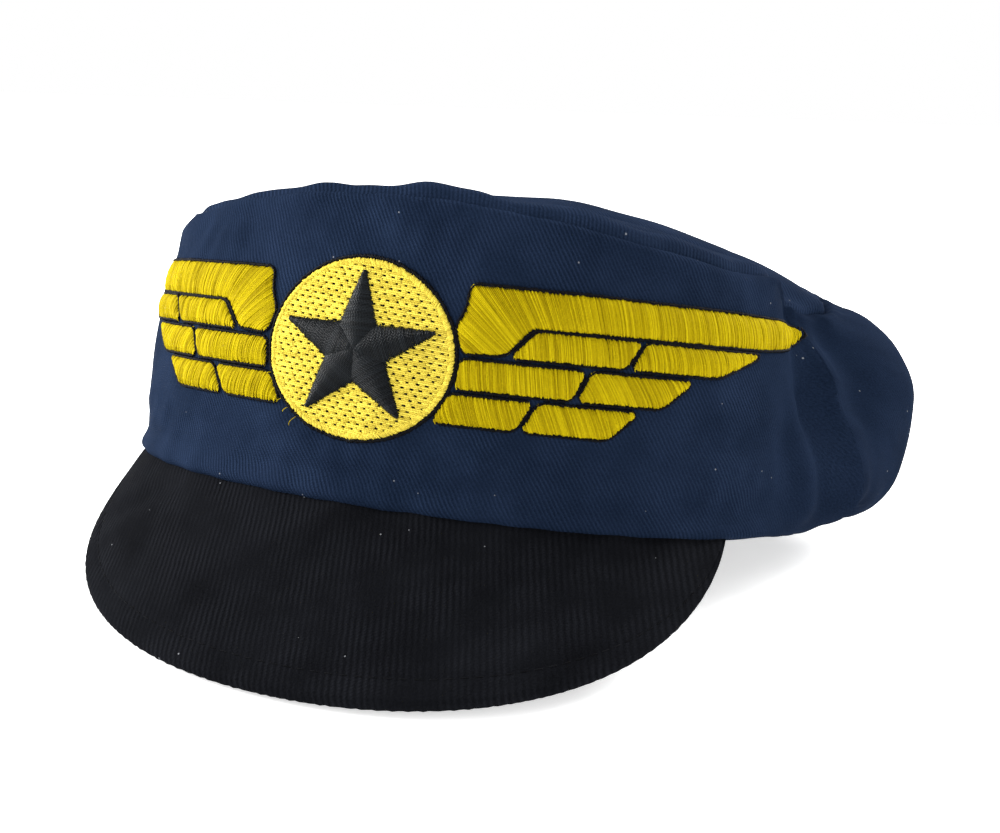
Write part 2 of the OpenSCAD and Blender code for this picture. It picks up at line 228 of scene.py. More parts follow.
def wall(t, w, o):
    """Point of the wall at angle t and fraction w of its height, o below its outer face."""
    t, w, o = together(t, w, o)
    r, p, n = rim(t), tip(t), outward(t)
    s = softness(t, w)[..., None]
    rise = (p - r) / 3 * (1 - s)
    a = r + rise + n * (BACK_FULL_LOW * s + FRONT_BULGE) - UP * BACK_DROOP * s
    b = p - rise + n * (BACK_FULL_HIGH * s + FRONT_BULGE) - UP * SHOULDER_DROOP * s
    f = w[..., None]
    point = r * (1 - f) ** 3 + a * 3 * f * (1 - f) ** 2 + b * 3 * f * f * (1 - f) + p * f**3
    d = (a - r) * (1 - f) ** 2 + (b - a) * 2 * f * (1 - f) + (p - b) * f * f
    dn = (d * n).sum(-1, keepdims=True)
    face = unit(n * d[..., 2:3] - UP * dn)
    return point - face * o[..., None]


def end_angle(w):
    return PANEL_END - PANEL_END_LEAN * np.abs(np.asarray(w, float)) ** 4


def wall_height(t):
    return np.linalg.norm(tip(t) - rim(t), axis=-1)


ARC_T = np.arange(0, 180.1, 0.5)
ARC_S = run_length(rim(ARC_T))


def arc_angle(s):
    return np.sign(s) * np.interp(np.abs(s), ARC_S, ARC_T)


def arc_length(t):
    return np.sign(t) * np.interp(np.abs(t), ARC_T, ARC_S)


low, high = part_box("front_panel")
PLACE = np.array([0, low.y / MM + HALF_D, high.z / MM - TIP_FRONT_Z])


def placed(p):
    return (np.asarray(p, float) + PLACE) * MM


# ---- smooth repeatable unevenness ----


def wave_number(rng, period, spread):
    return 2 * math.pi / (period * rng.uniform(1 - spread, 1 + spread))


def waves(x, y, seed, period):
    """Sum of seven plane waves about one period long, mostly within -1 and 1."""
    rng = np.random.default_rng(seed)
    total = np.zeros(np.broadcast(x, y).shape)
    for _ in range(7):
        a = rng.uniform(0, math.pi)
        k = wave_number(rng, period, 0.5)
        total = total + np.sin(k * (np.cos(a) * x + np.sin(a) * y) + rng.uniform(0, 6.283))
    return total / 7**0.5 / 1.6


def ripple(x, seed, period):
    """Sum of five waves along one length."""
    rng = np.random.default_rng(seed)
    total = np.zeros(np.shape(x))
    for _ in range(5):
        k = wave_number(rng, period, 0.35)
        total = total + np.sin(k * x + rng.uniform(0, 6.283))
    return total / 5**0.5 / 1.4


# ---- meshes from grids ----


def make_mesh(name, verts, faces, uvs=None, material=None):
    """One object from vertices in metres and quads or triangles (last index repeated)."""
    faces = np.asarray(faces, np.int32)
    tri = faces[:, 2] == faces[:, 3]
    counts = np.where(tri, 3, 4)
    keep = np.ones(faces.shape, bool)
    keep[tri, 3] = False
    loops = faces[keep]
    starts = np.concatenate([[0], np.cumsum(counts)[:-1]]).astype(np.int32)
    mesh = bpy.data.meshes.new(name)
    mesh.vertices.add(len(verts))
    mesh.vertices.foreach_set("co", np.asarray(verts, np.float32).ravel())
    mesh.loops.add(len(loops))
    mesh.loops.foreach_set("vertex_index", loops.astype(np.int32))
    mesh.polygons.add(len(faces))
    mesh.polygons.foreach_set("loop_start", starts)
    mesh.polygons.foreach_set("use_smooth", np.ones(len(faces), bool))
    if uvs is not None:
        layer = mesh.uv_layers.new(name="cloth")
        layer.data.foreach_set("uv", np.asarray(uvs, np.float32)[loops].ravel())
    mesh.update(calc_edges=True)
    mesh.validate()
    obj = bpy.data.objects.new(name, mesh)
    bpy.context.scene.collection.objects.link(obj)
    if material is not None:
        mesh.materials.append(material)
    return obj


def grid_quads(rows, cols, base, flip, closed):
    r = np.arange(rows - 1)[:, None]
    c = np.arange(cols if closed else cols - 1)[None, :]
    d = (c + 1) % cols
    a, b = base + r * cols + c, base + r * cols + d
    e, f = base + (r + 1) * cols + d, base + (r + 1) * cols + c
    q = np.stack(np.broadcast_arrays(a, b, e, f), -1).reshape(-1, 4)
    return q[:, ::-1] if flip else q


def strip(p, q):
    p, q = np.asarray(p), np.asarray(q)
    return np.stack([p[:-1], p[1:], q[1:], q[:-1]], -1)


def shell(name, outer, inner, uv, material, closed=False, middle=None):
    """Closed cloth sheet between two grids of points, in millimetres about the opening.

    The rings of a round sheet run inwards to its middle, given as outer point, inner point and uv.
    """
    rows, cols = outer.shape[:2]
    n = rows * cols
    points = [outer.reshape(-1, 3), inner.reshape(-1, 3)]
    flat = uv.reshape(-1, 2)
    uvs = [flat, flat + ([0.3, 0.1] if middle else [0.37, 0.11])]
    c = np.arange(cols)
    if closed or middle:
        c = np.append(c, 0)
    last = (rows - 1) * cols + c
    faces = [
        grid_quads(rows, cols, 0, False, len(c) > cols),
        grid_quads(rows, cols, n, True, len(c) > cols),
        strip(c + n, c),
    ]
    if middle:
        mid = np.full(cols, 2 * n)
        points += [[middle[0]], [middle[1]]]
        uvs += [[middle[2]], [middle[2]]]
        faces.append(np.stack([last[:-1], last[1:], mid, mid], -1))
        faces.append(np.stack([last[1:] + n, last[:-1] + n, mid + 1, mid + 1], -1))
    else:
        faces.append(strip(last, last + n))
    if len(c) == cols:
        r = np.arange(rows) * cols
        faces += [strip(r, r + n), strip(r + n + cols - 1, r + cols - 1)]
    verts = placed(np.concatenate(points))
    obj = make_mesh(name, verts, np.concatenate(faces), np.concatenate(uvs), material)
    obj.data.set_sharp_from_angle(angle=EDGE_ANGLE)
    return obj


def grid_normals(grid, closed=False):
    """Unit normals of a grid, out of a face whose columns run to +X side seen from the front."""
    if closed:
        wide = np.concatenate([grid[:, -1:], grid, grid[:, :1]], 1)
        du = np.gradient(wide, axis=1)[:, 1:-1]
    else:
        du = np.gradient(grid, axis=1)
    dv = np.gradient(grid, axis=0)
    return unit(np.cross(du, dv))


def refine(grid, rows_by, cols_by, closed=False):
    """Catmull-Rom resampling of a grid along both ways."""

    def along(g, by, wrap):
        n = g.shape[0]
        count = n * by if wrap else (n - 1) * by + 1
        x = np.arange(count) / by
        i = np.minimum(np.floor(x).astype(int), n - 1 if wrap else n - 2)
        f = (x - i).reshape([-1] + [1] * (g.ndim - 1))

        def at(k):
            return g[np.mod(k, n)] if wrap else g[np.clip(k, 0, n - 1)]

        a, b, c, d = at(i - 1), at(i), at(i + 1), at(i + 2)
        return b + 0.5 * f * (
            c - a + f * (2 * a - 5 * b + 4 * c - d + f * (3 * (b - c) + d - a))
        )

    g = along(grid, rows_by, False) if rows_by > 1 else grid
    if cols_by > 1:
        g = np.swapaxes(along(np.swapaxes(g, 0, 1), cols_by, closed), 0, 1)
    return g


def cloth_uv(grid):
    """Flat coordinates of a grid in millimetres, from its mean row and column lengths."""
    dx = np.linalg.norm(np.diff(grid, axis=1), axis=-1).mean(0)
    x = np.concatenate([[0], np.cumsum(dx)])
    return vec(x - x.mean(), run_length(grid))


# ---- threads ----


def threads(name, lines, normals, half_w, half_t, material, tint=None):
    """Flattened round threads along lines (strands, points, 3), in millimetres."""
    count, k = lines.shape[:2]
    sides = THREAD_SIDES
    d = np.gradient(lines, axis=1)
    side = unit(np.cross(d, normals))
    up = unit(np.cross(side, d))
    width = np.reshape(half_w, (-1, 1, 1, 1))
    a = (np.arange(sides) * 2 * math.pi / sides).reshape(1, 1, -1, 1)
    scale = np.ones((1, k, 1, 1))
    scale[:, [0, -1]] = 0.55
    ring = (
        lines[:, :, None]
        + side[:, :, None] * np.cos(a) * width * scale
        + up[:, :, None] * np.sin(a) * half_t * scale
    )
    base = (np.arange(count) * k * sides).reshape(-1, 1, 1)
    j = (np.arange(k - 1) * sides).reshape(1, -1, 1)
    i = np.arange(sides).reshape(1, 1, -1)
    n = (i + 1) % sides
    j = base + j
    quads = np.broadcast_arrays(j + i, j + sides + i, j + sides + n, j + n)
    quads = np.stack(quads, -1).reshape(-1, 4)
    b = base.reshape(-1, 1)
    e = b + (k - 1) * sides
    caps = []
    for m in range(1, sides - 2, 2):
        caps.append(np.concatenate([b, b + m, b + m + 1, b + m + 2], 1))
        caps.append(np.concatenate([e + m + 2, e + m + 1, e + m, e], 1))
    faces = np.concatenate([quads] + caps)
    lengths = run_length(np.swapaxes(lines, 0, 1)).T
    if tint is None:
        tint = np.random.default_rng(len(name) * 31 + count).random(count)
    v = np.round(tint * 997).reshape(-1, 1, 1) + i / sides * 0.8
    uv = vec(lengths[:, :, None], v).reshape(-1, 2)
    return make_mesh(name, placed(ring.reshape(-1, 3)), faces, uv, material)


def inside_spans(polygon, origin, direction):
    """Lengths along a line at which it is inside a polygon."""
    e = np.roll(polygon, -1, 0) - polygon
    cross = cross2(direction, e)
    ok = np.abs(cross) > 1e-9
    cross = np.where(ok, cross, 1)
    w = polygon - origin
    f, a = cross2(w, direction) / cross, cross2(w, e) / cross
    hit = np.sort(a[ok & (f >= 0) & (f < 1)])
    return [(hit[i], hit[i + 1]) for i in range(0, len(hit) - 1, 2)]


def rounded(polygon, radius):
    """The outline with its corners cut twice, within radius of each corner."""
    p = np.asarray(polygon, float)
    for size in (radius, radius * 0.35):
        q = np.roll(p, -1, 0)
        length = np.linalg.norm(q - p, axis=-1, keepdims=True)
        cut = np.minimum(size / np.maximum(length, 1e-6), 0.3)
        p = np.stack([mix(p, q, cut), mix(p, q, 1 - cut)], 1).reshape(-1, 2)
    return p


def satin_lines(polygon, angle_at, rng):
    """Stitches across a shape: start and end points on the cloth, one row per stitch."""
    starts, ends = [], []
    lo, hi = polygon[:, 0].min() - 12, polygon[:, 0].max() + 12
    mid_v = (polygon[:, 1].min() + polygon[:, 1].max()) / 2
    s = lo
    while s < hi:
        angle = math.radians(angle_at(s))
        d, _ = axes(angle)
        at = np.array([s, mid_v])
        for a, b in inside_spans(polygon, at, d):
            if b - a > 0.7:
                starts.append(at + d * (a - 0.2 - rng.uniform(-STITCH_RAGGED, STITCH_RAGGED)))
                ends.append(at + d * (b + 0.2 + rng.uniform(-STITCH_RAGGED, STITCH_RAGGED)))
        s += THREAD_PITCH / max(math.sin(angle), 0.3)
    return np.array(starts), np.array(ends)


# ---- surface of the front panel ----


def seam_pinch(w):
    """Depth of the side seam's line, which fades out below the crease."""
    return 1.2 * ease(w, 0.5, 0.8)


def relief(t, w):
    """Outward unevenness of the front panel in millimetres."""
    v = np.asarray(w, float) * wall_height(t)
    top = wall_height(t) - v
    s = arc_length(t)
    to_end = (end_angle(w) - np.abs(t)) * MM_PER_DEGREE
    away = ease(v, 2, 18) * ease(top, 2, 22)
    slow = 0.65 * waves(s, v, 11, 46) * away
    sewn = ease(np.abs(s), 132, 112) * ease(v, 17, 23) * ease(top, 12, 22)
    soft = 1 - 0.8 * sewn
    pucker = (
        0.55 * ripple(s + 3 * np.sin(v / 5), 21, 24) * fade(top, 11.0)
        + 0.10 * ripple(s, 22, 6.5) * fade(top, 4.0)
    )
    diagonal = 1.15 * np.sin((s * 0.62 + v * 0.9) / 9.5 + 1.2 * waves(s, v, 12, 60)) * soft
    diagonal = diagonal * ease(top, 1, 8) * ease(v, 3, 14) * 0.7
    around_badge = 0.28 * waves(s, v, 14, 9) * (1 - sewn) * ease(v, 3, 10) * ease(top, 3, 8)
    roll = 1.9 * bell(v, 1.6, 3.2) - 1.6 * bell(v, -1.6, 1.1)
    hem = 0.2 * (1 + ripple(s, 23, 13)) * bell(v, 0, 7.0)
    low = ease(w, 0.64, 0.42) * ease(w, 0.03, 0.18)
    fold = 2.2 * bell(to_end - 17 - 9 * (0.4 - w), 0, 4.6) * low
    hollow = -0.5 * bell(to_end, 27, 4.5) * low
    body = slow * soft + pucker + diagonal + around_badge + hem + fold + hollow
    body = np.where(body < 0, STIFF_GAP * np.tanh(body / STIFF_GAP), body) + roll
    seam = -2.2 * bell(top, 0, 1.1) + 0.35 * bell(top, 3.0, 2.0)
    crease = 1.3 * bell(to_end, 1.0, 0.8) * ease(w, 0.45, 0.7)
    shoulder = 1.3 * bell(top, 1.7, 1.2) * ease(np.abs(t), 73, 80)
    flank = -bell(to_end, 0, 0.9) * seam_pinch(w)
    return body * ease(to_end, 0, 4) + seam + crease + shoulder + flank


def panel_point(s, v, o=0.0):
    """Point o above the front panel's face at s along the opening's edge and v up the panel."""
    t = arc_angle(s)
    w = np.asarray(v, float) / wall_height(t)
    return wall(t, w, -(relief(t, w) + o))


def panel_normal(s, v):
    e = 0.4
    du = panel_point(s + e, v) - panel_point(s - e, v)
    dv = panel_point(s, v + e) - panel_point(s, v - e)
    return unit(np.cross(du, dv))


# ---- materials ----


def new_material(name):
    m = bpy.data.materials.new(name)
    m.use_nodes = True
    t = m.node_tree
    t.nodes.clear()
    out = t.nodes.new("ShaderNodeOutputMaterial")
    bsdf = t.nodes.new("ShaderNodeBsdfPrincipled")
    t.links.new(bsdf.outputs[0], out.inputs[0])
    return m, t, bsdf


def set_inputs(n, **values):
    """Sets a node's inputs, named with _ for each space."""
    for key, value in values.items():
        n.inputs[key.replace("_", " ")].default_value = value


def add_bump(t, bsdf, height, strength, distance):
    b = t.nodes.new("ShaderNodeBump")
    set_inputs(b, Strength=strength, Distance=distance)
    t.links.new(height.socket, b.inputs["Height"])
    t.links.new(b.outputs[0], bsdf.inputs["Normal"])


class Value:
    """A shader node's output that can be added to, multiplied and put through functions."""

    def __init__(self, tree, socket):
        self.tree, self.socket = tree, socket

    def do(self, operation, *others):
        n = self.tree.nodes.new("ShaderNodeMath")
        n.operation = operation
        for i, x in enumerate((self, *others)):
            if isinstance(x, Value):
                self.tree.links.new(x.socket, n.inputs[i])
            else:
                n.inputs[i].default_value = x
        return Value(self.tree, n.outputs[0])

    def __add__(self, other):
        return self.do("ADD", other)

    def __mul__(self, other):
        return self.do("MULTIPLY", other)

    def scaled(self, by, plus):
        return self.do("MULTIPLY_ADD", by, plus)

    def ramp(self, low, high):
        """0 at low and 1 at high, clamped."""
        n = self.tree.nodes.new("ShaderNodeMapRange")
        n.clamp = True
        self.tree.links.new(self.socket, n.inputs[0])
        n.inputs[1].default_value = low
        n.inputs[2].default_value = high
        return Value(self.tree, n.outputs[0])


def split(t, vector):
    xyz = t.nodes.new("ShaderNodeSeparateXYZ")
    t.links.new(vector, xyz.inputs[0])
    return [Value(t, socket) for socket in xyz.outputs]


def flat_coords(t):
    """The cloth's uv, in millimetres along the flat piece, and its two parts."""
    uv = t.nodes.new("ShaderNodeUVMap")
    uv.uv_map = "cloth"
    u, v, _ = split(t, uv.outputs[0])
    return uv.outputs[0], u, v


def noise(t, vector, scale, detail, rough=0.5, stretch=None):
    n = t.nodes.new("ShaderNodeTexNoise")
    set_inputs(n, Scale=scale, Detail=detail, Roughness=rough)
    if stretch is not None:
        m = t.nodes.new("ShaderNodeMapping")
        m.inputs["Scale"].default_value = stretch
        t.links.new(vector, m.inputs[0])
        vector = m.outputs[0]
    t.links.new(vector, n.inputs["Vector"])
    return Value(t, n.outputs[0])


def mix_color(t, factor, a, b):
    n = t.nodes.new("ShaderNodeMix")
    n.data_type = "RGBA"
    t.links.new(factor.socket, n.inputs[0])
    for i, value in ((6, a), (7, b)):
        if isinstance(value, tuple):
            n.inputs[i].default_value = (*value, 1.0)
        else:
            t.links.new(value, n.inputs[i])
    return n.outputs[2]


LINT_RADIUS, LINT_COLOUR = 0.035, (0.35, 0.36, 0.38)


def twill(name, dark, light, pitch, angle, bump, sheen, roughness=0.8, lint=0.35, worn=0.35,
          calm=1.0, smooth_from=None):
    """Woven twill: slanted ridges of short floats with painted shade in the grooves between them,
    uneven dye, fuzz and a little lint.
    """
    m, t, bsdf = new_material(name)
    uv, u, v = flat_coords(t)
    ca, sa = math.cos(math.radians(angle)), math.sin(math.radians(angle))
    across = u * sa + v * -ca
    along = u * ca + v * sa
    drift = noise(t, uv, 0.35, 3.0)
    phase = across * (2 * math.pi / pitch) + drift * 3.2
    ridge = phase.do("SINE").scaled(0.5, 0.5)
    float_phase = along * (2 * math.pi / (pitch * 0.62)) + phase * 0.5
    floats = float_phase.do("SINE").scaled(0.5, 0.5)
    yarn = noise(t, uv, 2.3, 3.0, 0.6)
    fuzz = noise(t, uv, 6.0, 2.0, 0.7)
    shown = noise(t, uv, 0.07, 3.0, 0.6).ramp(0.38, 0.62).scaled(1 - worn, worn) * calm
    if smooth_from:
        pulled = u.do("ABSOLUTE").ramp(smooth_from, smooth_from + 22)
        shown = shown * pulled.scaled(-0.85, 1.0)
    ridge = ridge * shown
    height = ridge * floats.scaled(0.45, 0.55) + yarn * 0.8
    add_bump(t, bsdf, height, min(1.0, bump), 0.00016 * bump)
    slow = noise(t, uv, 0.045, 3.0).ramp(0.3, 0.7)
    # painted shade: the ridge term darkens the grooves between the ridges; the yarn and slow terms
    # are uneven dye
    value = (ridge * 0.36 + yarn * 0.62 + slow * 0.22).ramp(0.2, 0.95)
    color = mix_color(t, value, dark, light)
    pale = tuple(min(1.0, 2.0 * c) for c in light)
    color = mix_color(t, fuzz.ramp(0.6, 0.85) * 0.45, color, pale)
    specks = t.nodes.new("ShaderNodeTexVoronoi")
    specks.inputs["Scale"].default_value = 0.16
    t.links.new(uv, specks.inputs["Vector"])
    spot = Value(t, specks.outputs["Distance"]).do("LESS_THAN", LINT_RADIUS) * lint
    color = mix_color(t, spot, color, LINT_COLOUR)
    t.links.new(color, bsdf.inputs["Base Color"])
    set_inputs(
        bsdf, Roughness=roughness, Specular_IOR_Level=0.004, Sheen_Weight=sheen,
        Sheen_Roughness=0.45,
    )
    return m


def thread_material(name, dark, light, roughness, shine):
    """Embroidery thread: fine twisted fibres along each strand and a tint of its own, which on the
    black thread is partly painted glints.
    """
    m, t, bsdf = new_material(name)
    uv, u, v = flat_coords(t)
    strand = t.nodes.new("ShaderNodeTexWhiteNoise")
    strand.noise_dimensions = "1D"
    t.links.new(v.do("FLOOR").socket, strand.inputs["W"])
    fibres = noise(t, uv, 1.0, 3.0, 0.6, stretch=(0.9, 5.0, 1.0))
    twist = (u * 9.0 + v * 7.0).do("SINE")
    value = Value(t, strand.outputs[0]) * 0.55 + fibres * 0.6
    color = mix_color(t, value.ramp(0.1, 0.95), dark, light)
    t.links.new(color, bsdf.inputs["Base Color"])
    add_bump(t, bsdf, twist + fibres, 0.5, 0.00005)
    set_inputs(bsdf, Roughness=roughness, Specular_IOR_Level=shine)
    return m


def object_cloth(name, dark, light, scale, bump):
    """Woven material by place, for pieces kept from the CAD."""
    m, t, bsdf = new_material(name)
    place = t.nodes.new("ShaderNodeTexCoord").outputs["Object"]
    x, y, z = split(t, place)
    k = 2 * math.pi * scale
    warp = ((x + y) * k).do("SINE")
    weft = (z * k).do("SINE")
    h = warp * weft * 0.5 + noise(t, place, scale * 0.9, 3.0, 0.6)
    slow = noise(t, place, 30.0, 2.0)
    value = (h * 0.6 + slow * 0.5).ramp(0.1, 0.9)
    t.links.new(mix_color(t, value, dark, light), bsdf.inputs["Base Color"])
    add_bump(t, bsdf, h, 0.8, bump)
    set_inputs(bsdf, Roughness=0.85, Sheen_Weight=0.3)
    return m


NAVY_DARK, NAVY_LIGHT = (0.0019, 0.0044, 0.0105), (0.0128, 0.0222, 0.0475)
BLACK_DARK, BLACK_LIGHT = (0.0018, 0.0019, 0.0024), (0.0080, 0.0086, 0.0108)
navy = twill("navy_twill", NAVY_DARK, NAVY_LIGHT, 0.95, 120, bump=1.0, sheen=0.0, worn=0.4,
             smooth_from=98)
soft_navy = twill("soft_navy_twill", NAVY_DARK, NAVY_LIGHT, 0.95, 120, bump=0.7, sheen=0.0,
                  worn=0.1, calm=0.3)
black_twill = twill("black_twill", BLACK_DARK, BLACK_LIGHT, 1.35, 73, bump=1.1, sheen=0.0,
                    worn=0.1)
lining_cloth = twill(
    "lining_cloth", (0.010, 0.013, 0.024), (0.024, 0.030, 0.052), 0.55, 90, 0.4, 0.15, 0.7, 0.1
)
band_cloth = twill(
    "band_cloth", (0.006, 0.007, 0.009), (0.022, 0.024, 0.030), 1.3, 60, 1.2, 0.2, 0.8, 0.2
)
tape_cloth = twill(
    "tape_cloth", (0.008, 0.009, 0.012), (0.028, 0.030, 0.036), 0.8, 45, 1.0, 0.2, 0.85, 0.1
)
label_cloth = twill(
    "label_cloth", (0.62, 0.61, 0.57), (0.84, 0.83, 0.79), 0.5, 0, 0.5, 0.3, 0.45, 0.0
)
elastic_cloth = twill(
    "elastic_cloth", (0.52, 0.51, 0.48), (0.82, 0.81, 0.77), 1.4, 90, 1.6, 0.3, 0.75, 0.0
)
board_sheet = twill(
    "board_sheet", (0.16, 0.16, 0.16), (0.26, 0.26, 0.26), 2.4, 30, 0.4, 0.0, 0.6, 0.0
)
interlining = object_cloth(
    "interlining", (0.42, 0.41, 0.37), (0.68, 0.66, 0.60), 900.0, 0.00012
)
yellow = thread_material(
    "yellow_thread", (0.17, 0.115, 0.001), (0.46, 0.36, 0.004), 0.6, 0.01
)
# painted highlight: a paler, lighter copy of the yellow thread, standing for the brighter light on
# the flat disc fill and its rim
disc_yellow_painted_highlight = thread_material(
    "disc_thread", (0.38, 0.285, 0.025), (0.74, 0.60, 0.08), 0.6, 0.01
)
# the lighter strand tints are partly random tone and partly painted glints of threads catching
# light
black_thread = thread_material(
    "black_thread", (0.0012, 0.0015, 0.0018), (0.0075, 0.0095, 0.0115), 0.36, 0.08
)
outline_thread = thread_material(
    "outline_thread", (0.0015, 0.0015, 0.002), (0.006, 0.006, 0.007), 0.6, 0.04
)
dull_thread = thread_material(
    "seam_thread", (0.0025, 0.0026, 0.003), (0.007, 0.0073, 0.0085), 0.75, 0.01
)

# ---- soft wall and top, settled as one cloth ----

FRONT_STEPS = 96
BACK_STEPS = 132
WALL_ROWS = 24
TOP_ROWS = 18
STATIONS = FRONT_STEPS + BACK_STEPS


def crowded(f, amount):
    return f - amount * np.sin(2 * math.pi * f)


def station_angle(i, w):
    i = np.asarray(i, float)
    e = end_angle(w)
    front = mix(-e, e, crowded(i / FRONT_STEPS, 0.02))
    back = mix(e, 360 - e, crowded((i - FRONT_STEPS) / BACK_STEPS, 0.06))
    return np.where(i <= FRONT_STEPS, front, back)


def soft_start():
    """Wall rows from the opening's edge up, then the top's rings inwards, before settling."""
    i = np.arange(STATIONS)[None, :]
    w = (np.arange(WALL_ROWS + 1) / WALL_ROWS)[:, None]
    t = station_angle(i, w)
    side = softness(t)
    s = np.mod(t, 360) / 360 * 2 * math.pi
    gather = side * (1 - w) ** 1.3 * np.minimum(1, w * 9)
    gathers = 1.7 * ripple(s * 100, 31, 17) * gather + 0.7 * ripple(s * 100, 32, 7.5) * gather
    folds = 1.5 * ripple(s * 100 + 9 * w, 33, 36) * side * np.sin(math.pi * w)
    from_seam = (around(t) - end_angle(w)) * MM_PER_DEGREE
    high = ease(w, 0.46, 0.66) * ease(w, 1.0, 0.86)
    valley = -3.2 * bell(from_seam, 6.5, 4.5) * high
    brow = 2.4 * bell(from_seam, 21, 8) * high
    low = ease(w, 0.05, 0.2) * ease(w, 0.6, 0.42)
    slack = -1.2 * bell(from_seam, 13, 6) * low
    slack = slack + 1.6 * bell(from_seam, 30, 9) * low
    shape = np.where(from_seam > 0, valley + brow + slack, 0)
    points = wall(t, w, -(gathers + folds) * ease(w, 0.0, 0.12) - shape)
    rings = []
    p = tip(t[-1])
    for k in range(1, TOP_ROWS):
        r = 1 - k / TOP_ROWS
        z = mix(TOP_MID_Z, p[:, 2], r**TOP_POWER)
        edge = 1.2 * ripple(t[-1], 34, 24) * r**3 * ease(r, 1.0, 0.9)
        rings.append(vec(p[:, 0] * r, mix(TOP_MID_Y, p[:, 1], r), z + edge))
    middle = np.array([0.0, TOP_MID_Y, TOP_MID_Z])
    return points, np.array(rings), middle


SETTLE_FRAMES = 24
SETTLE_REACH = 3.2
SETTLE_KEPT = 1.3
SAG_OFF_WALL = 0.8
CLOTH = {
    "quality": 6,
    "mass": 0.25,
    "tension_stiffness": 14,
    "compression_stiffness": 14,
    "shear_stiffness": 6,
    "bending_stiffness": 0.6,
    "air_damping": 3,
    "vertex_group_mass": "sewn",
    "shrink_min": -0.03,
    "use_pressure": True,
    "uniform_pressure_force": 0.2,
}


def smoothed(grid, times):
    """The grid evened out with its neighbours, round each row and up each column."""
    grid = grid.copy()
    for _ in range(times):
        grid = 0.5 * grid + 0.25 * (np.roll(grid, 1, 1) + np.roll(grid, -1, 1))
        grid[1:-1] = 0.5 * grid[1:-1] + 0.25 * (grid[:-2] + grid[2:])
    return grid


def settle(points, rings, middle):
    """Lets the soft cloth swell, sag and wrinkle between its sewn edges by simulation.

    Its moves are limited, and most of the overall sag is taken off, to keep the cap's outline.
    """
    grid = np.concatenate([points, rings])
    rows, cols = grid.shape[:2]
    flat = np.concatenate([grid.reshape(-1, 3), middle[None]])
    last = (rows - 1) * cols + np.arange(cols)
    centre = np.full(cols, rows * cols)
    cap = np.stack([last, (rows - 1) * cols + (np.arange(cols) + 1) % cols, centre, centre], -1)
    obj = make_mesh(
        "settling", placed(flat), np.concatenate([grid_quads(rows, cols, 0, False, True), cap])
    )
    group = obj.vertex_groups.new(name="sewn")
    sewn = np.zeros((rows, cols), bool)
    sewn[0] = True
    sewn[: len(points), : FRONT_STEPS + 1] = True
    group.add([int(i) for i in np.flatnonzero(sewn.ravel())], 1.0, "REPLACE")
    cloth = obj.modifiers.new("cloth", "CLOTH")
    for key, value in CLOTH.items():
        setattr(cloth.settings, key, value)
    cloth.settings.effector_weights.gravity = 0.15
    scene = bpy.context.scene
    cloth.point_cache.frame_start = 1
    cloth.point_cache.frame_end = SETTLE_FRAMES
    for f in range(1, SETTLE_FRAMES + 1):
        scene.frame_set(f)
    evaluated = obj.evaluated_get(bpy.context.evaluated_depsgraph_get())
    co = np.empty(len(flat) * 3, np.float32)
    evaluated.data.vertices.foreach_get("co", co)
    scene.frame_set(1)
    bpy.data.objects.remove(obj)
    shift = (co.reshape(-1, 3).astype(float) / MM - PLACE - flat)[:-1].reshape(rows, cols, 3)
    size = np.linalg.norm(shift, axis=-1, keepdims=True)
    shift = shift * SETTLE_REACH * np.tanh(size / SETTLE_REACH) / np.maximum(size, 1e-9)
    shift = smoothed(shift, 2)
    sag = smoothed(shift, 40)
    height = np.arange(rows)[:, None] / (len(points) - 1)
    sag_off = mix(SAG_OFF_WALL, SETTLE_KEPT, ease(height, 0.8, 1.1))
    shift = SETTLE_KEPT * shift - sag_off[..., None] * sag
    i = np.arange(cols)
    from_side = np.minimum(np.abs(i - FRONT_STEPS), np.abs(cols - i))
    from_side = np.where(i <= FRONT_STEPS, 0, from_side)
    on_wall = ease(from_side, 0, 7)[None, :] * ease(height, 0, 0.2)
    behind = ease(around(station_angle(i, 1.0)), 88, 110)[None, :]
    on_top = np.maximum(behind, ease(height, 1.03, 1.25))
    hold = np.where(height <= 1, on_wall, on_top * ease(height, 0.0, 0.2))
    grid = grid + shift * hold[..., None]
    return grid[: len(points)], grid[len(points):], grid[-1].mean(0)


points, rings, middle = soft_start()
points, rings, middle = settle(points, rings, middle)

# ---- front panel ----

FRONT_COLS = 361
FRONT_ROWS = 151
w_rows = np.linspace(0, 1, FRONT_ROWS)
w_rows = (w_rows - 0.045 * np.sin(2 * math.pi * w_rows))[:, None]
w_rows = mix(-PANEL_HANG, 1, w_rows)
t_cols = end_angle(w_rows) * np.linspace(-1, 1, FRONT_COLS)[None, :]
front_outer = wall(t_cols, w_rows, -relief(t_cols, w_rows))
front_inner = wall(t_cols, w_rows, TWILL_T - INNER_RELIEF * relief(t_cols, w_rows))
front_uv = vec(arc_length(t_cols), w_rows * wall_height(t_cols))
front_panel = shell("front_panel_cloth", front_outer, front_inner, front_uv, navy)

# ---- back panel and top, refined from the settled cloth ----


def twill_faces(grid, normal, swell):
    """Outer and inner faces of the twill over a grid, raised by swell."""
    inner = INNER_RELIEF * swell - TWILL_T
    return grid + normal * swell[..., None], grid + normal * inner[..., None]


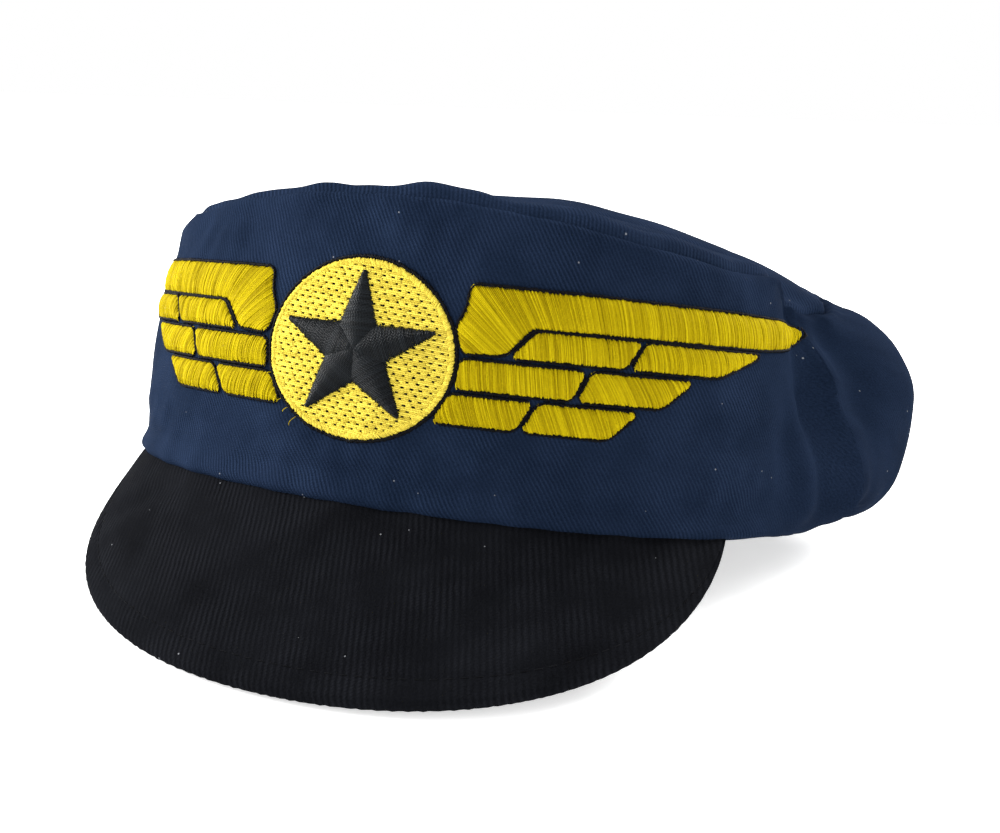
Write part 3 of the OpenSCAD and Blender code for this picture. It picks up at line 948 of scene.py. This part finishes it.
back_cols = [i % STATIONS for i in range(FRONT_STEPS, STATIONS + 1)]
back_fine = refine(points[:, back_cols], 5, 3)
back_normal = grid_normals(back_fine)
rows_f = np.linspace(0, 1, back_fine.shape[0])[:, None]
cols_f = np.linspace(0, 1, back_fine.shape[1])[None, :]
back_uv = cloth_uv(back_fine)
back_x, up_mm = back_uv[..., 0], back_uv[..., 1]
top_mm = back_uv[-1:, :, 1] - up_mm
side_mm = np.minimum(cols_f, 1 - cols_f) * BACK_WIDTH
swell = (
    0.9 * bell(up_mm, 3.2, 2.6)
    - 1.0 * bell(up_mm, 0, 1.1)
    + 0.35 * ripple(back_x, 41, 8) * fade(top_mm, 7.0)
    + 0.5 * ripple(back_x, 42, 6) * bell(up_mm, 3, 7.0)
    + 0.30 * waves(back_x, up_mm, 43, 26) * ease(up_mm, 3, 15) * ease(top_mm, 3, 12)
) * ease(side_mm, 0, 4) + (
    -1.3 * bell(top_mm, 0, 0.9)
    + 0.35 * bell(top_mm, 3.0, 2.0)
    - bell(side_mm, 0, 0.9) * seam_pinch(rows_f)
)
back_faces = twill_faces(back_fine, back_normal, swell)
back_panel = shell("back_panel_cloth", *back_faces, back_uv, soft_navy)

top_fine = refine(np.concatenate([points[-1:], rings]), 4, 2, closed=True)
top_normal = grid_normals(top_fine, closed=True)
top_uv = top_fine[..., :2]
top_x, top_y = top_uv[..., 0], top_uv[..., 1]
top_in = run_length(top_fine)
rim_run = run_length(top_fine[0])[None, :]
rim_angle = station_angle(np.arange(0, STATIONS, 0.5), 1.0)[None, :]
front_share = ease(rim_angle, -28, 8) * ease(rim_angle, 85, 40)
top_swell = (
    -2.0 * bell(top_in, 0, 1.1)
    + 0.5 * bell(top_in, 3.2, 2.2)
    + 2.2 * bell(top_in, 7.5, 4.5) * front_share
    + 0.5 * ripple(rim_run, 51, 16) * fade(top_in, 9.0)
    + 0.5 * waves(top_x, top_y, 52, 45) * ease(top_in, 2, 20)
)
mid_normal = unit(top_normal[-1].mean(0))
crown_top = shell(
    "crown_top_cloth", *twill_faces(top_fine, top_normal, top_swell), top_uv, navy,
    middle=(middle, middle - mid_normal * TWILL_T, middle[:2]),
)

# ---- linings and tapes, behind the same cloth ----

wall_all = refine(points, 2, 1)
wall_normal = grid_normals(wall_all, closed=True)
wall_flat = cloth_uv(wall_all)
lining_rows = slice(1, int(wall_all.shape[0] * 0.97))
wall_x, wall_y = wall_flat[..., 0], wall_flat[..., 1]
crumple = 0.25 * waves(wall_x, wall_y, 61, 22) + 0.2 * ripple(wall_x, 62, 9)
crumple = crumple[lining_rows, :, None]
lining_normal = wall_normal[lining_rows]
lining_grid = wall_all[lining_rows] - lining_normal * (LINING_O + 0.1)
side_lining = shell(
    "side_lining_cloth", lining_grid + lining_normal * crumple * 0.5,
    lining_grid - lining_normal * (LINING_T + 0.3 * (1 + crumple)),
    wall_flat[lining_rows], lining_cloth, closed=True,
)

top_rows = slice(6, None)
top_crumple = 0.2 * waves(top_x, top_y, 63, 20)[top_rows, :, None]
top_lining_grid = top_fine[top_rows] - top_normal[top_rows] * TOP_LINING_O
lining_mid = middle - mid_normal * TOP_LINING_O
top_lining = shell(
    "top_lining_cloth", top_lining_grid,
    top_lining_grid - top_normal[top_rows] * (LINING_T + 0.2 + top_crumple),
    top_uv[top_rows], lining_cloth,
    middle=(lining_mid, lining_mid - mid_normal * (LINING_T + 0.2), middle[:2]),
)


def tape(name, grid, normal, depth, thick, closed=False):
    outer, inner = grid - normal * depth, grid - normal * (depth + thick)
    return shell(name, outer, inner, cloth_uv(grid), tape_cloth, closed=closed)


top_seam_tape = tape(
    "top_seam_tape_cloth", top_fine[2:6], top_normal[2:6], 2.0, 0.5, closed=True
)


def side_tape(name, station):
    band = [(station + k) % STATIONS for k in range(-2, 3)]
    rows = slice(6, -6)
    return tape(name, wall_all[rows][:, band], wall_normal[rows][:, band], 1.35, 0.45)


side_tape_left = side_tape("side_seam_tape_left_cloth", FRONT_STEPS)
side_tape_right = side_tape("side_seam_tape_right_cloth", 0)

# ---- sweatband, elastic and label ----


def band_point(t, h, o):
    w = h / wall_height(t)
    upright = rim(t) + UP * np.asarray(h)[..., None] - outward(t) * np.asarray(o)[..., None]
    return mix(wall(t, w, o), upright, softness(t)[..., None])


def band_shell(name, t, h, outer_o, inner_o, material, closed=False):
    """Strip along the opening at angles t and heights h, between two depths."""
    outer, inner = band_point(t, h, outer_o), band_point(t, h, inner_o)
    return shell(name, outer, inner, vec(t * RIM_MM_PER_DEGREE, h), material, closed=closed)


BAND_STITCH_H = 3.0
band_t = np.linspace(0, 360, 361)[None, :-1]
band_h = np.concatenate([[1.2, 1.5, 2.1], np.linspace(3, SWEATBAND_H - 0.5, 22), [SWEATBAND_H]])
band_h = band_h[:, None]
run = band_t * RIM_MM_PER_DEGREE
pulled = ease(around(band_t), 100, 135)
gather = 0.5 * ripple(run, 71, 7.0) * pulled * np.sin(math.pi * (band_h - 1) / SWEATBAND_H)
edge = 0.25 * fade(SWEATBAND_H - band_h, 1.2, 1) + 0.15 * fade(band_h - 1.2, 0.8, 1)
stitched = -0.25 * bell(band_h, BAND_STITCH_H, 0.5)
inset = SWEATBAND_O + 0.2 - gather * 0.4
sweatband = band_shell(
    "sweatband_cloth", band_t, band_h, inset,
    inset + SWEATBAND_T - 0.2 + gather + edge + stitched, band_cloth, closed=True,
)

elastic_t = np.linspace(125, 235, 221)[None, :]
elastic_h = np.linspace(6, 22, 33)[:, None]
elastic_run = elastic_t * RIM_MM_PER_DEGREE
rib = 0.18 * np.abs(np.sin(elastic_run * math.pi / 1.4)) + 0.15 * ripple(elastic_run, 72, 8.0)
back_elastic = band_shell(
    "back_elastic_band", elastic_t, elastic_h, 1.3 - rib * 0.5, 2.3 + rib * 0.5, elastic_cloth
)

LABEL_HALF_T = 8
LABEL_LOW, LABEL_HIGH = 9, 24
label_t = np.linspace(180 - LABEL_HALF_T, 180 + LABEL_HALF_T, 33)[None, :]
label_h = np.linspace(LABEL_LOW, LABEL_HIGH, 31)[:, None]
label_free = 1 - (label_h - LABEL_LOW) / (LABEL_HIGH - LABEL_LOW)
label_curl = 0.5 * ((label_t - 180) / LABEL_HALF_T) ** 2 * label_free**2
label_base = SWEATBAND_O + SWEATBAND_T + 0.75 + label_curl
label_hem = 0.15 * fade(label_h - LABEL_LOW, 0.8, 1)
care_label = band_shell(
    "care_label_satin", label_t, label_h, label_base, label_base + 0.3 + label_hem, label_cloth
)

# ---- visor ----


def visor_dir(u):
    return vec(
        VISOR_FLARE * sind(VISOR_SPAN * np.asarray(u)), -cosd(VISOR_SLOPE), -sind(VISOR_SLOPE)
    )


def visor_reach(u):
    u = np.minimum(1, np.abs(u))
    return np.maximum(1.5, VISOR_LEN * np.sqrt(np.maximum(0, 1 - u**VISOR_POWER)))


def visor_face(u):
    t = VISOR_SPAN * np.asarray(u)
    tangent = vec(
        HALF_W * cosd(t), HALF_D * sind(t), (BACK_LIFT - FRONT_LIFT) / 2 * sind(t)
    )
    return unit(np.cross(tangent, -visor_dir(u)))


def visor_point(u, m, o):
    u, m, o = together(u, m, o)
    t = VISOR_SPAN * u
    return (
        rim(t) + outward(t) * VISOR_GAP + visor_dir(u) * m[..., None]
        - visor_face(u) * o[..., None]
    )


def visor_root(u, o):
    n = outward(VISOR_SPAN * np.asarray(u))
    return np.maximum(0, o * (n * visor_face(u)).sum(-1) / (n * visor_dir(u)).sum(-1))


VISOR_COLS = 301
VISOR_ROWS = 72
visor_u = sind(np.linspace(-90, 90, VISOR_COLS))[None, :]


def visor_relief(u, m):
    """Upward unevenness of the covers in millimetres."""
    x = VISOR_HALF_RUN * np.asarray(u)
    lump = 0.28 * waves(x, m, 81, 34) + 0.10 * waves(x, m, 82, 12)
    valley = -1.3 * bell(x + 52 + 0.9 * (m - 12), 0, 6) * ease(m, 28, 6)
    valley = valley * ease(m, 0, 8)
    pull = -0.22 * bell(visor_reach(u) - m - TOPSTITCH_INSET, 0, 0.9)
    tuck = 0.35 * ripple(x, 83, 15) * bell(m, 0, 7.0)
    return (lump + valley + tuck) * ease(visor_reach(u) - m, 0, 8) + pull


def cover(name, over):
    """Visor cover that rounds over the edge to meet the other one half way down."""
    f = np.linspace(0, 1, VISOR_ROWS)[:, None]
    reach = visor_reach(visor_u)
    edge = reach + 0.12 * ripple(visor_u * 90, 84, 2.3) * ease(reach, 2, 10)
    root_o = 0.0 if over else VISOR_THICK
    root = visor_root(visor_u, root_o)
    flat_end = np.maximum(edge - NOSE, root + 0.3)
    split = 0.82
    flat_f = np.clip(f / split, 0, 1)
    turn = np.clip((f - split) / (1 - split), 0, 1) * 90
    m = mix(root, flat_end, flat_f) + (edge - flat_end) * sind(turn)
    fall = NOSE * (1 - cosd(turn))
    bump = visor_relief(visor_u, m)
    if over:
        outer_o = fall - bump
    else:
        outer_o = VISOR_THICK - fall + UNDER_RELIEF * bump
    inset_m = m - COVER_T * sind(turn)
    sign = 1 if over else -1
    inner_o = outer_o + sign * COVER_T * np.maximum(cosd(turn), 0.05)
    outer = visor_point(visor_u, m, outer_o)
    inner = visor_point(visor_u, np.maximum(inset_m, root), inner_o)
    uv = vec(outer[..., 0], m)
    order = slice(None, None, -sign)
    return shell(name, outer[order], inner[order], uv[order], black_twill)


visor_top = cover("visor_top_cloth", over=True)
visor_under = cover("visor_under_cloth", over=False)
board_f = np.linspace(0, 1, 40)[:, None]
board_u = 0.93 * visor_u
board_low = 1.5 + visor_root(board_u, 2.9)
board_m = mix(board_low, np.maximum(visor_reach(board_u) - BOARD_INSET, board_low + 0.5), board_f)
board_o = BOARD_O - 0.5 * np.minimum(0, visor_relief(board_u, board_m))
visor_board = shell(
    "visor_board_sheet", visor_point(board_u, board_m, board_o)[::-1],
    visor_point(board_u, board_m, BOARD_END_O)[::-1],
    vec(VISOR_HALF_RUN * board_u, board_m)[::-1], board_sheet,
)

# ---- stitches ----


def run_stitches(name, path, normals, length, gap, lift, half_w, material):
    """Running stitches along a dense path of points."""
    total = run_length(path)
    starts = np.arange(0, total[-1] - length, length + gap)
    f = np.linspace(0, 1, 7)
    x = starts[:, None] + f * length
    line, n = [vec(*[np.interp(x, total, g[:, a]) for a in range(3)]) for g in (path, normals)]
    n = unit(n)
    arch = lift * hump(f, 4) - 0.22 * (1 - np.sin(math.pi * f)) ** 3
    return threads(name, line + n * arch[None, :, None], n, half_w, half_w * 0.8, material)


# length, gap, lift and half width of a stitch
VISOR_STITCH = (2.5, 0.7, 0.05, 0.15)
stitch_u = 0.955 * sind(np.linspace(-90, 90, 700))
stitch_m = visor_reach(stitch_u) - TOPSTITCH_INSET
stitch_relief = visor_relief(stitch_u, stitch_m)
stitch_top = visor_point(stitch_u, stitch_m, -stitch_relief)
topstitch = run_stitches(
    "visor_topstitch_threads", stitch_top, visor_face(stitch_u), *VISOR_STITCH, dull_thread
)
stitch_low = visor_point(stitch_u, stitch_m, VISOR_THICK + UNDER_RELIEF * stitch_relief)
understitch = run_stitches(
    "visor_understitch_threads", stitch_low, -visor_face(stitch_u), *VISOR_STITCH, dull_thread
)
hem_t = np.linspace(0, 360, 1441)
hem_h = np.full(1441, BAND_STITCH_H)
hem_path = band_point(hem_t, hem_h, SWEATBAND_O + SWEATBAND_T + 0.05)
band_stitches = run_stitches(
    "sweatband_stitches", hem_path, -outward(hem_t), 2.6, 0.6, 0.12, 0.18, black_thread
)

# ---- embroidery ----


def feather_shapes():
    """Outlines of the seven feathers of one wing, with the slant of their stitches."""
    long_one = [
        (26.2, 38.9), (36.0, 39.3), (42.2, 46.0), (106.5, 46.8), (118.0, 47.4), (126.0, 48.2),
        (129.4, 49.2), (131.2, 51.2), (130.4, 52.7), (127.6, 53.6), (117.8, 54.2), (98.0, 54.5),
        (42.0, 54.2), (27.3, 54.3), (26.6, 48.5), (24.3, 44.6),
    ]
    heights = [(39.0, 45.2), (30.6, 37.3), (22.3, 29.0)]
    gaps = [(65.2, 69.1), (52.8, 55.8), (40.2, 43.9)]
    inner = [(37.6, 43.4), (25.0, 26.0), (20.3, 23.7)]
    outer = [(89.4, 105.6), (73.7, 82.0), (60.9, 67.9)]
    slants = [(98, 102), (97, 120), (108, 112)]
    half = 0.8
    fan_s, fan_slant = [27, 36, 50, 75], [143, 132, 108, 97]
    shapes = [(np.array(long_one), lambda s: float(np.interp(s, fan_s, fan_slant)))]
    for (foot, head), gap, near, far, slant in zip(heights, gaps, inner, outer, slants):
        before, after = [(gap[0] + by, gap[1] + by) for by in (-half, half)]
        for a, b, angle in ((near, before, slant[0]), (after, far, slant[1])):
            quad = np.array([(a[0], foot), (b[0], foot), (b[1], head), (a[1], head)])
            shapes.append((quad, lambda s, x=angle: x))
    return shapes


def closer_at_ends(count):
    """Fractions from 0 to 1, closer together towards both ends."""
    return 0.5 - 0.5 * np.cos(math.pi * np.linspace(0, 1, count))


def between(a, b, f):
    """Points at the fractions f of the way from each a to each b."""
    return a[:, None] + (b - a)[:, None] * f[None, :, None]


def embroider(name, s, v, arch, half_w, half_t, material, tint=None):
    """Threads arched over the front panel, one to a row."""
    lines, normals = panel_point(s, v, arch), panel_normal(s, v)
    return threads(name, lines, normals, half_w, half_t, material, tint=tint)


def satin(name, polygon, angle_at, side, seed):
    """A feather filled with padded satin stitches."""
    rng = np.random.default_rng(seed)
    a, b = satin_lines(polygon, angle_at, rng)
    f = closer_at_ends(8)
    line = between(a, b, f)
    s, v = line[..., 0] * side, line[..., 1]
    span = np.linalg.norm(b - a, axis=-1)
    height = FEATHER_RISE * np.minimum(1, span / 6.0) ** 0.5 * rng.uniform(0.86, 1.08, len(a))
    arch = height[:, None] * hump(f, 2.6)
    arch = arch + 0.04 + rng.uniform(-0.03, 0.05, len(a))[:, None]
    s = s + rng.uniform(-0.07, 0.07, len(a))[:, None] * np.sin(math.pi * f)
    tint = rng.random(len(a))
    width = FEATHER_HALF_W * rng.uniform(0.85, 1.12, len(a))
    return embroider(name, s, v, arch, width, 0.17, yellow, tint)


def border(name, outlines, side, width, seed):
    """Narrow satin line round each outline."""
    rng = np.random.default_rng(seed)
    all_a, all_b = [], []
    for outline in outlines:
        p = rounded(outline, 1.2)
        q = np.vstack([p, p[:1]])
        length = run_length(q)
        x = np.arange(0, length[-1], BORDER_PITCH)
        c, ahead = [
            vec(np.interp(at, length, q[:, 0]), np.interp(at, length, q[:, 1]))
            for at in (x, (x + 0.5) % length[-1])
        ]
        d = unit(ahead - c)
        out = np.sign(cross2(q[:-1], q[1:]).sum()) * vec(d[:, 1], -d[:, 0])
        slant = d * 0.25
        half = width / 2 * rng.uniform(0.5, 1.8, (len(x), 1))
        mid = c + out * BORDER_OFFSET
        all_a.append(mid - out * half - slant)
        all_b.append(mid + out * half + slant)
    a, b = np.concatenate(all_a), np.concatenate(all_b)
    f = np.linspace(0, 1, 5)
    line = between(a, b, f)
    s, v = line[..., 0] * side, line[..., 1]
    arch = 0.05 + 0.38 * hump(f, 2) + rng.uniform(0, 0.06, (len(a), 1))
    return embroider(name, s, v, arch, 0.2, 0.15, outline_thread)


shapes = feather_shapes()
wing_pieces = []
for side, word in ((1, "left"), (-1, "right")):
    for k, (outline, angle_at) in enumerate(shapes):
        polygon = rounded(outline, 0.45)
        piece = satin(
            f"feather_{word}_{k + 1}_threads", polygon, angle_at, side, 100 + 20 * side + k
        )
        wing_pieces.append((piece, f"feather_{word}_{k + 1}", "yellow_thread"))
    outlines = [outline for outline, _ in shapes]
    piece = border(f"wing_outline_{word}_threads", outlines, side, 0.52, 7 + side)
    wing_pieces.append((piece, f"wing_outline_{word}", "black_thread"))


def disc_fill():
    """Fill stitches in nearly level rows; every third row shows its staggered stitch ends."""
    rng = np.random.default_rng(5)
    along, across = axes(math.radians(-5.0))
    edge = 1.2
    length = 2.35
    slit = 0.9
    pitch = 0.45
    a, b, dip = [], [], []
    for row, y in enumerate(np.arange(-BADGE_H, BADGE_H, pitch)):
        shown = row % 3 == 0
        step = length if shown else length * 2.2
        shift = (row // 3 % 2) * 0.5 if shown else rng.random()
        cuts = np.arange(-12, 13) * step + shift * step + rng.uniform(-0.12, 0.12, 25)
        x = np.linspace(-BADGE_W, BADGE_W, 400)
        p = along * x[:, None] + across * y
        inside = (p[:, 0] / (BADGE_W - edge)) ** 2 + (p[:, 1] / (BADGE_H - edge)) ** 2 < 1
        if not inside.any():
            continue
        x0, x1 = x[inside][0], x[inside][-1]
        cuts = np.concatenate([[x0], cuts[(cuts > x0 + 0.7) & (cuts < x1 - 0.7)], [x1]])
        for c0, c1 in zip(cuts[:-1], cuts[1:]):
            gap = slit / 2 * rng.uniform(0.6, 1.2) if shown and c1 - c0 > slit + 0.5 else 0.03
            a.append(along * (c0 + gap) + across * y)
            b.append(along * (c1 - gap) + across * y)
            dip.append(0.8 if shown else 0.12)
    a, b, dip = np.array(a), np.array(b), np.array(dip)[:, None]
    f = closer_at_ends(7)
    line = between(a, b, f)
    dome = 0.25 * (1 - ((line[..., 0] / BADGE_W) ** 2 + (line[..., 1] / BADGE_H) ** 2) ** 2)
    arch = 0.42 - 0.34 * dip * np.abs(2 * f - 1) ** 2.5 + dome
    arch = arch + rng.uniform(-0.03, 0.04, (len(a), 1))
    s, v = line[..., 0] + BADGE_S, line[..., 1] + BADGE_V
    return embroider("badge_disc_threads", s, v, arch, 0.245, 0.19, disc_yellow_painted_highlight)


def ring_satin(name, inner, outer, rise, material, seed, base=0.05, rough_in=0.25):
    """Satin ring from inner to outer, in millimetres out from the disc's edge."""
    rng = np.random.default_rng(seed)
    count = int(2 * math.pi * (BADGE_W + BADGE_H) / 2 / RING_PITCH)
    angle = np.arange(count) * 2 * math.pi / count
    r0 = inner + rng.uniform(-rough_in, rough_in, count)
    r1 = outer + rng.uniform(-0.2, 0.2, count)
    f = np.linspace(0, 1, 6)
    r = r0[:, None] + (r1 - r0)[:, None] * f
    a = angle[:, None] + 0.03 * (f - 0.5)
    s = BADGE_S + (BADGE_W + r) * np.cos(a)
    v = BADGE_V + (BADGE_H + r) * np.sin(a)
    arch = base + rise * hump(f, 2.2) + rng.uniform(-0.03, 0.04, (count, 1))
    return embroider(name, s, v, arch, 0.2, 0.16, material)


disc = disc_fill()
disc_rim = ring_satin("badge_disc_rim_threads", -1.7, -0.05, 0.5, disc_yellow_painted_highlight, 8, base=0.15)
disc_outline = ring_satin(
    "badge_outline_threads", -0.1, 0.74, 0.42, outline_thread, 9, rough_in=0.12
)


def star():
    """Five satin arms, each raised along its middle, with stitches across it."""
    rng = np.random.default_rng(15)
    rows, widths = [], []
    turn = math.radians(36)
    x_notch, y_notch = STAR_NOTCH * math.cos(turn), STAR_NOTCH * math.sin(turn)
    for k in (2, 3, 1, 4, 0):
        along, across = axes(math.radians(90 + 72 * k))
        x = 0.0
        lift = 0.06 * rng.random()
        while x < 0.985:
            half = y_notch * (1 - x) / (1 - x_notch)
            if x < x_notch:
                half = min(1.3 * y_notch * (0.25 + 0.75 * x / x_notch), half)
            half = half + rng.uniform(0.0, 0.017) + 0.008
            f = np.linspace(-1, 1, 9)
            p = (along * x + across * (half * f)[:, None]).T
            s, v = p[0] * STAR_W + BADGE_S, p[1] * STAR_H + BADGE_V
            crest = 0.3 + 0.75 * min(1, half / 0.16)
            arch = 0.78 + lift + crest * (1 - np.abs(f) ** 1.7) + rng.uniform(-0.03, 0.03)
            arch[[0, -1]] -= 0.25
            rows.append([s, v, arch])
            widths.append(0.21 * rng.uniform(0.85, 1.15))
            x += STAR_ROW
    s, v, arch = np.array(rows).swapaxes(0, 1)
    return embroider("badge_star_threads", s, v, arch, widths, 0.17, black_thread)


badge_star = star()


def stray_ends():
    """A few loose yellow thread ends beside the badge."""
    rng = np.random.default_rng(77)
    rows = []
    for angle in (212, 219, 226, 234, 201):
        a = math.radians(angle)
        f = np.linspace(0, 1, 9)
        reach = rng.uniform(1.2, 2.8)
        bend = rng.uniform(-0.6, 0.6)
        s = (BADGE_W + 0.6 + reach * f) * math.cos(a) + bend * np.sin(2.5 * f)
        v = BADGE_V + (BADGE_H + 0.6 + reach * f) * math.sin(a) + bend * f
        rows.append([s, v, 0.15 + 0.5 * np.sin(math.pi * f)])
    s, v, arch = np.array(rows).swapaxes(0, 1)
    return embroider("stray_thread_ends", s, v, arch, 0.09, 0.09, yellow)


strays = stray_ends()

# ---- what stands for what, and what moves with what ----

# each piece, the CAD node it stands for and its material's slot
ON_CROWN = [
    (front_panel, "front_panel", "navy_twill"),
    (back_panel, "back_panel", "navy_twill"),
    (crown_top, "crown_top", "navy_twill"),
    (side_lining, "side_lining", "lining"),
    (top_lining, "top_lining", "lining"),
    (top_seam_tape, "top_seam_tape", "seam_tape"),
    (side_tape_left, "side_seam_tape_left", "seam_tape"),
    (side_tape_right, "side_seam_tape_right", "seam_tape"),
    (sweatband, "sweatband", "sweatband_twill"),
    (back_elastic, "back_elastic", "elastic"),
    (care_label, "care_label", "label_satin"),
    (disc, "badge_disc", "yellow_thread"),
    (disc_rim, None, "yellow_thread"),
    (disc_outline, "badge_outline", "black_thread"),
    (badge_star, "badge_star", "black_thread"),
    (band_stitches, None, "black_thread"),
    (strays, None, "yellow_thread"),
] + wing_pieces
ON_VISOR = [
    (visor_top, "visor_top_cover", "black_twill"),
    (visor_under, "visor_under_cover", "black_twill"),
    (visor_board, "visor_board", "visor_board"),
    (topstitch, "visor_topstitch", "black_thread"),
    (understitch, None, "black_thread"),
]
for piece, cad_node, slot in ON_CROWN + ON_VISOR:
    if cad_node:
        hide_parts(cad_node)
for piece, _, _ in ON_CROWN:
    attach(piece, "crown")

seam_front = placed(rim(0))
for piece, _, _ in ON_VISOR:
    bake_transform(piece)

stiffener = nodes["front_stiffener"]
stiffener.data.materials.clear()
stiffener.data.materials.append(interlining)

# ---- floor, light and camera ----

bpy.context.scene.view_settings.view_transform = "Standard"

FLOOR_HALF = 60.0
corners = [(-1, -1, 0), (1, -1, 0), (1, 1, 0), (-1, 1, 0)]
floor = make_mesh("floor", FLOOR_HALF * np.array(corners), [(0, 1, 2, 3)])
floor_material, _, shader = new_material("floor")
set_inputs(
    shader, Base_Color=(0.86, 0.86, 0.86, 1), Roughness=0.9, Specular_IOR_Level=0.1,
    Emission_Color=(1, 1, 1, 1), Emission_Strength=0.6,
)
floor.data.materials.append(floor_material)

world = bpy.data.worlds.new("studio")
bpy.context.scene.world = world
world.use_nodes = True
background = world.node_tree.nodes["Background"]
background.inputs[0].default_value = (1, 1, 1, 1)
background.inputs[1].default_value = 1.0


def softbox(name, place, aim, size, power):
    light = bpy.data.lights.new(name, "AREA")
    light.shape = "RECTANGLE"
    light.size, light.size_y = size
    light.energy = power
    obj = bpy.data.objects.new(name, light)
    bpy.context.scene.collection.objects.link(obj)
    obj.location = place
    obj.rotation_euler = (Vector(aim) - Vector(place)).to_track_quat("-Z", "Y").to_euler()


CENTRE = (0.0, 0.0, 0.05)
softbox("key", (-1.35, -0.3, 0.55), CENTRE, (0.7, 0.7), 54)
softbox("side", (0.9, 0.9, 0.8), CENTRE, (0.6, 0.6), 30)
softbox("top", (0.0, 0.3, 1.3), CENTRE, (0.8, 0.8), 10)

CAMERA_AZIMUTH = 20.04
CAMERA_ELEVATION = 15.33
CAMERA_ROLL = 1.95
CAMERA_DISTANCE = 323.8
CAMERA_LENS = 40.52
LOOK_AT = (13.2, 0.0, 35.97)
az, el = math.radians(CAMERA_AZIMUTH), math.radians(CAMERA_ELEVATION)
roll = math.radians(CAMERA_ROLL)
back = Vector((math.sin(az) * math.cos(el), -math.cos(az) * math.cos(el), math.sin(el)))
right0 = Vector((math.cos(az), math.sin(az), 0))
up0 = back.cross(right0)
right = right0 * math.cos(roll) + up0 * math.sin(roll)
up = up0 * math.cos(roll) - right0 * math.sin(roll)
camera = bpy.data.objects.new("camera", bpy.data.cameras.new("camera"))
bpy.context.scene.collection.objects.link(camera)
camera.data.lens = CAMERA_LENS
camera.data.sensor_width = 36
camera.data.clip_start = 0.01
look = Vector(placed(LOOK_AT))
place = look + back * CAMERA_DISTANCE * MM
turned = Matrix((right, up, back)).transposed().to_4x4()
camera.matrix_world = Matrix.Translation(place) @ turned
bpy.context.scene.camera = camera
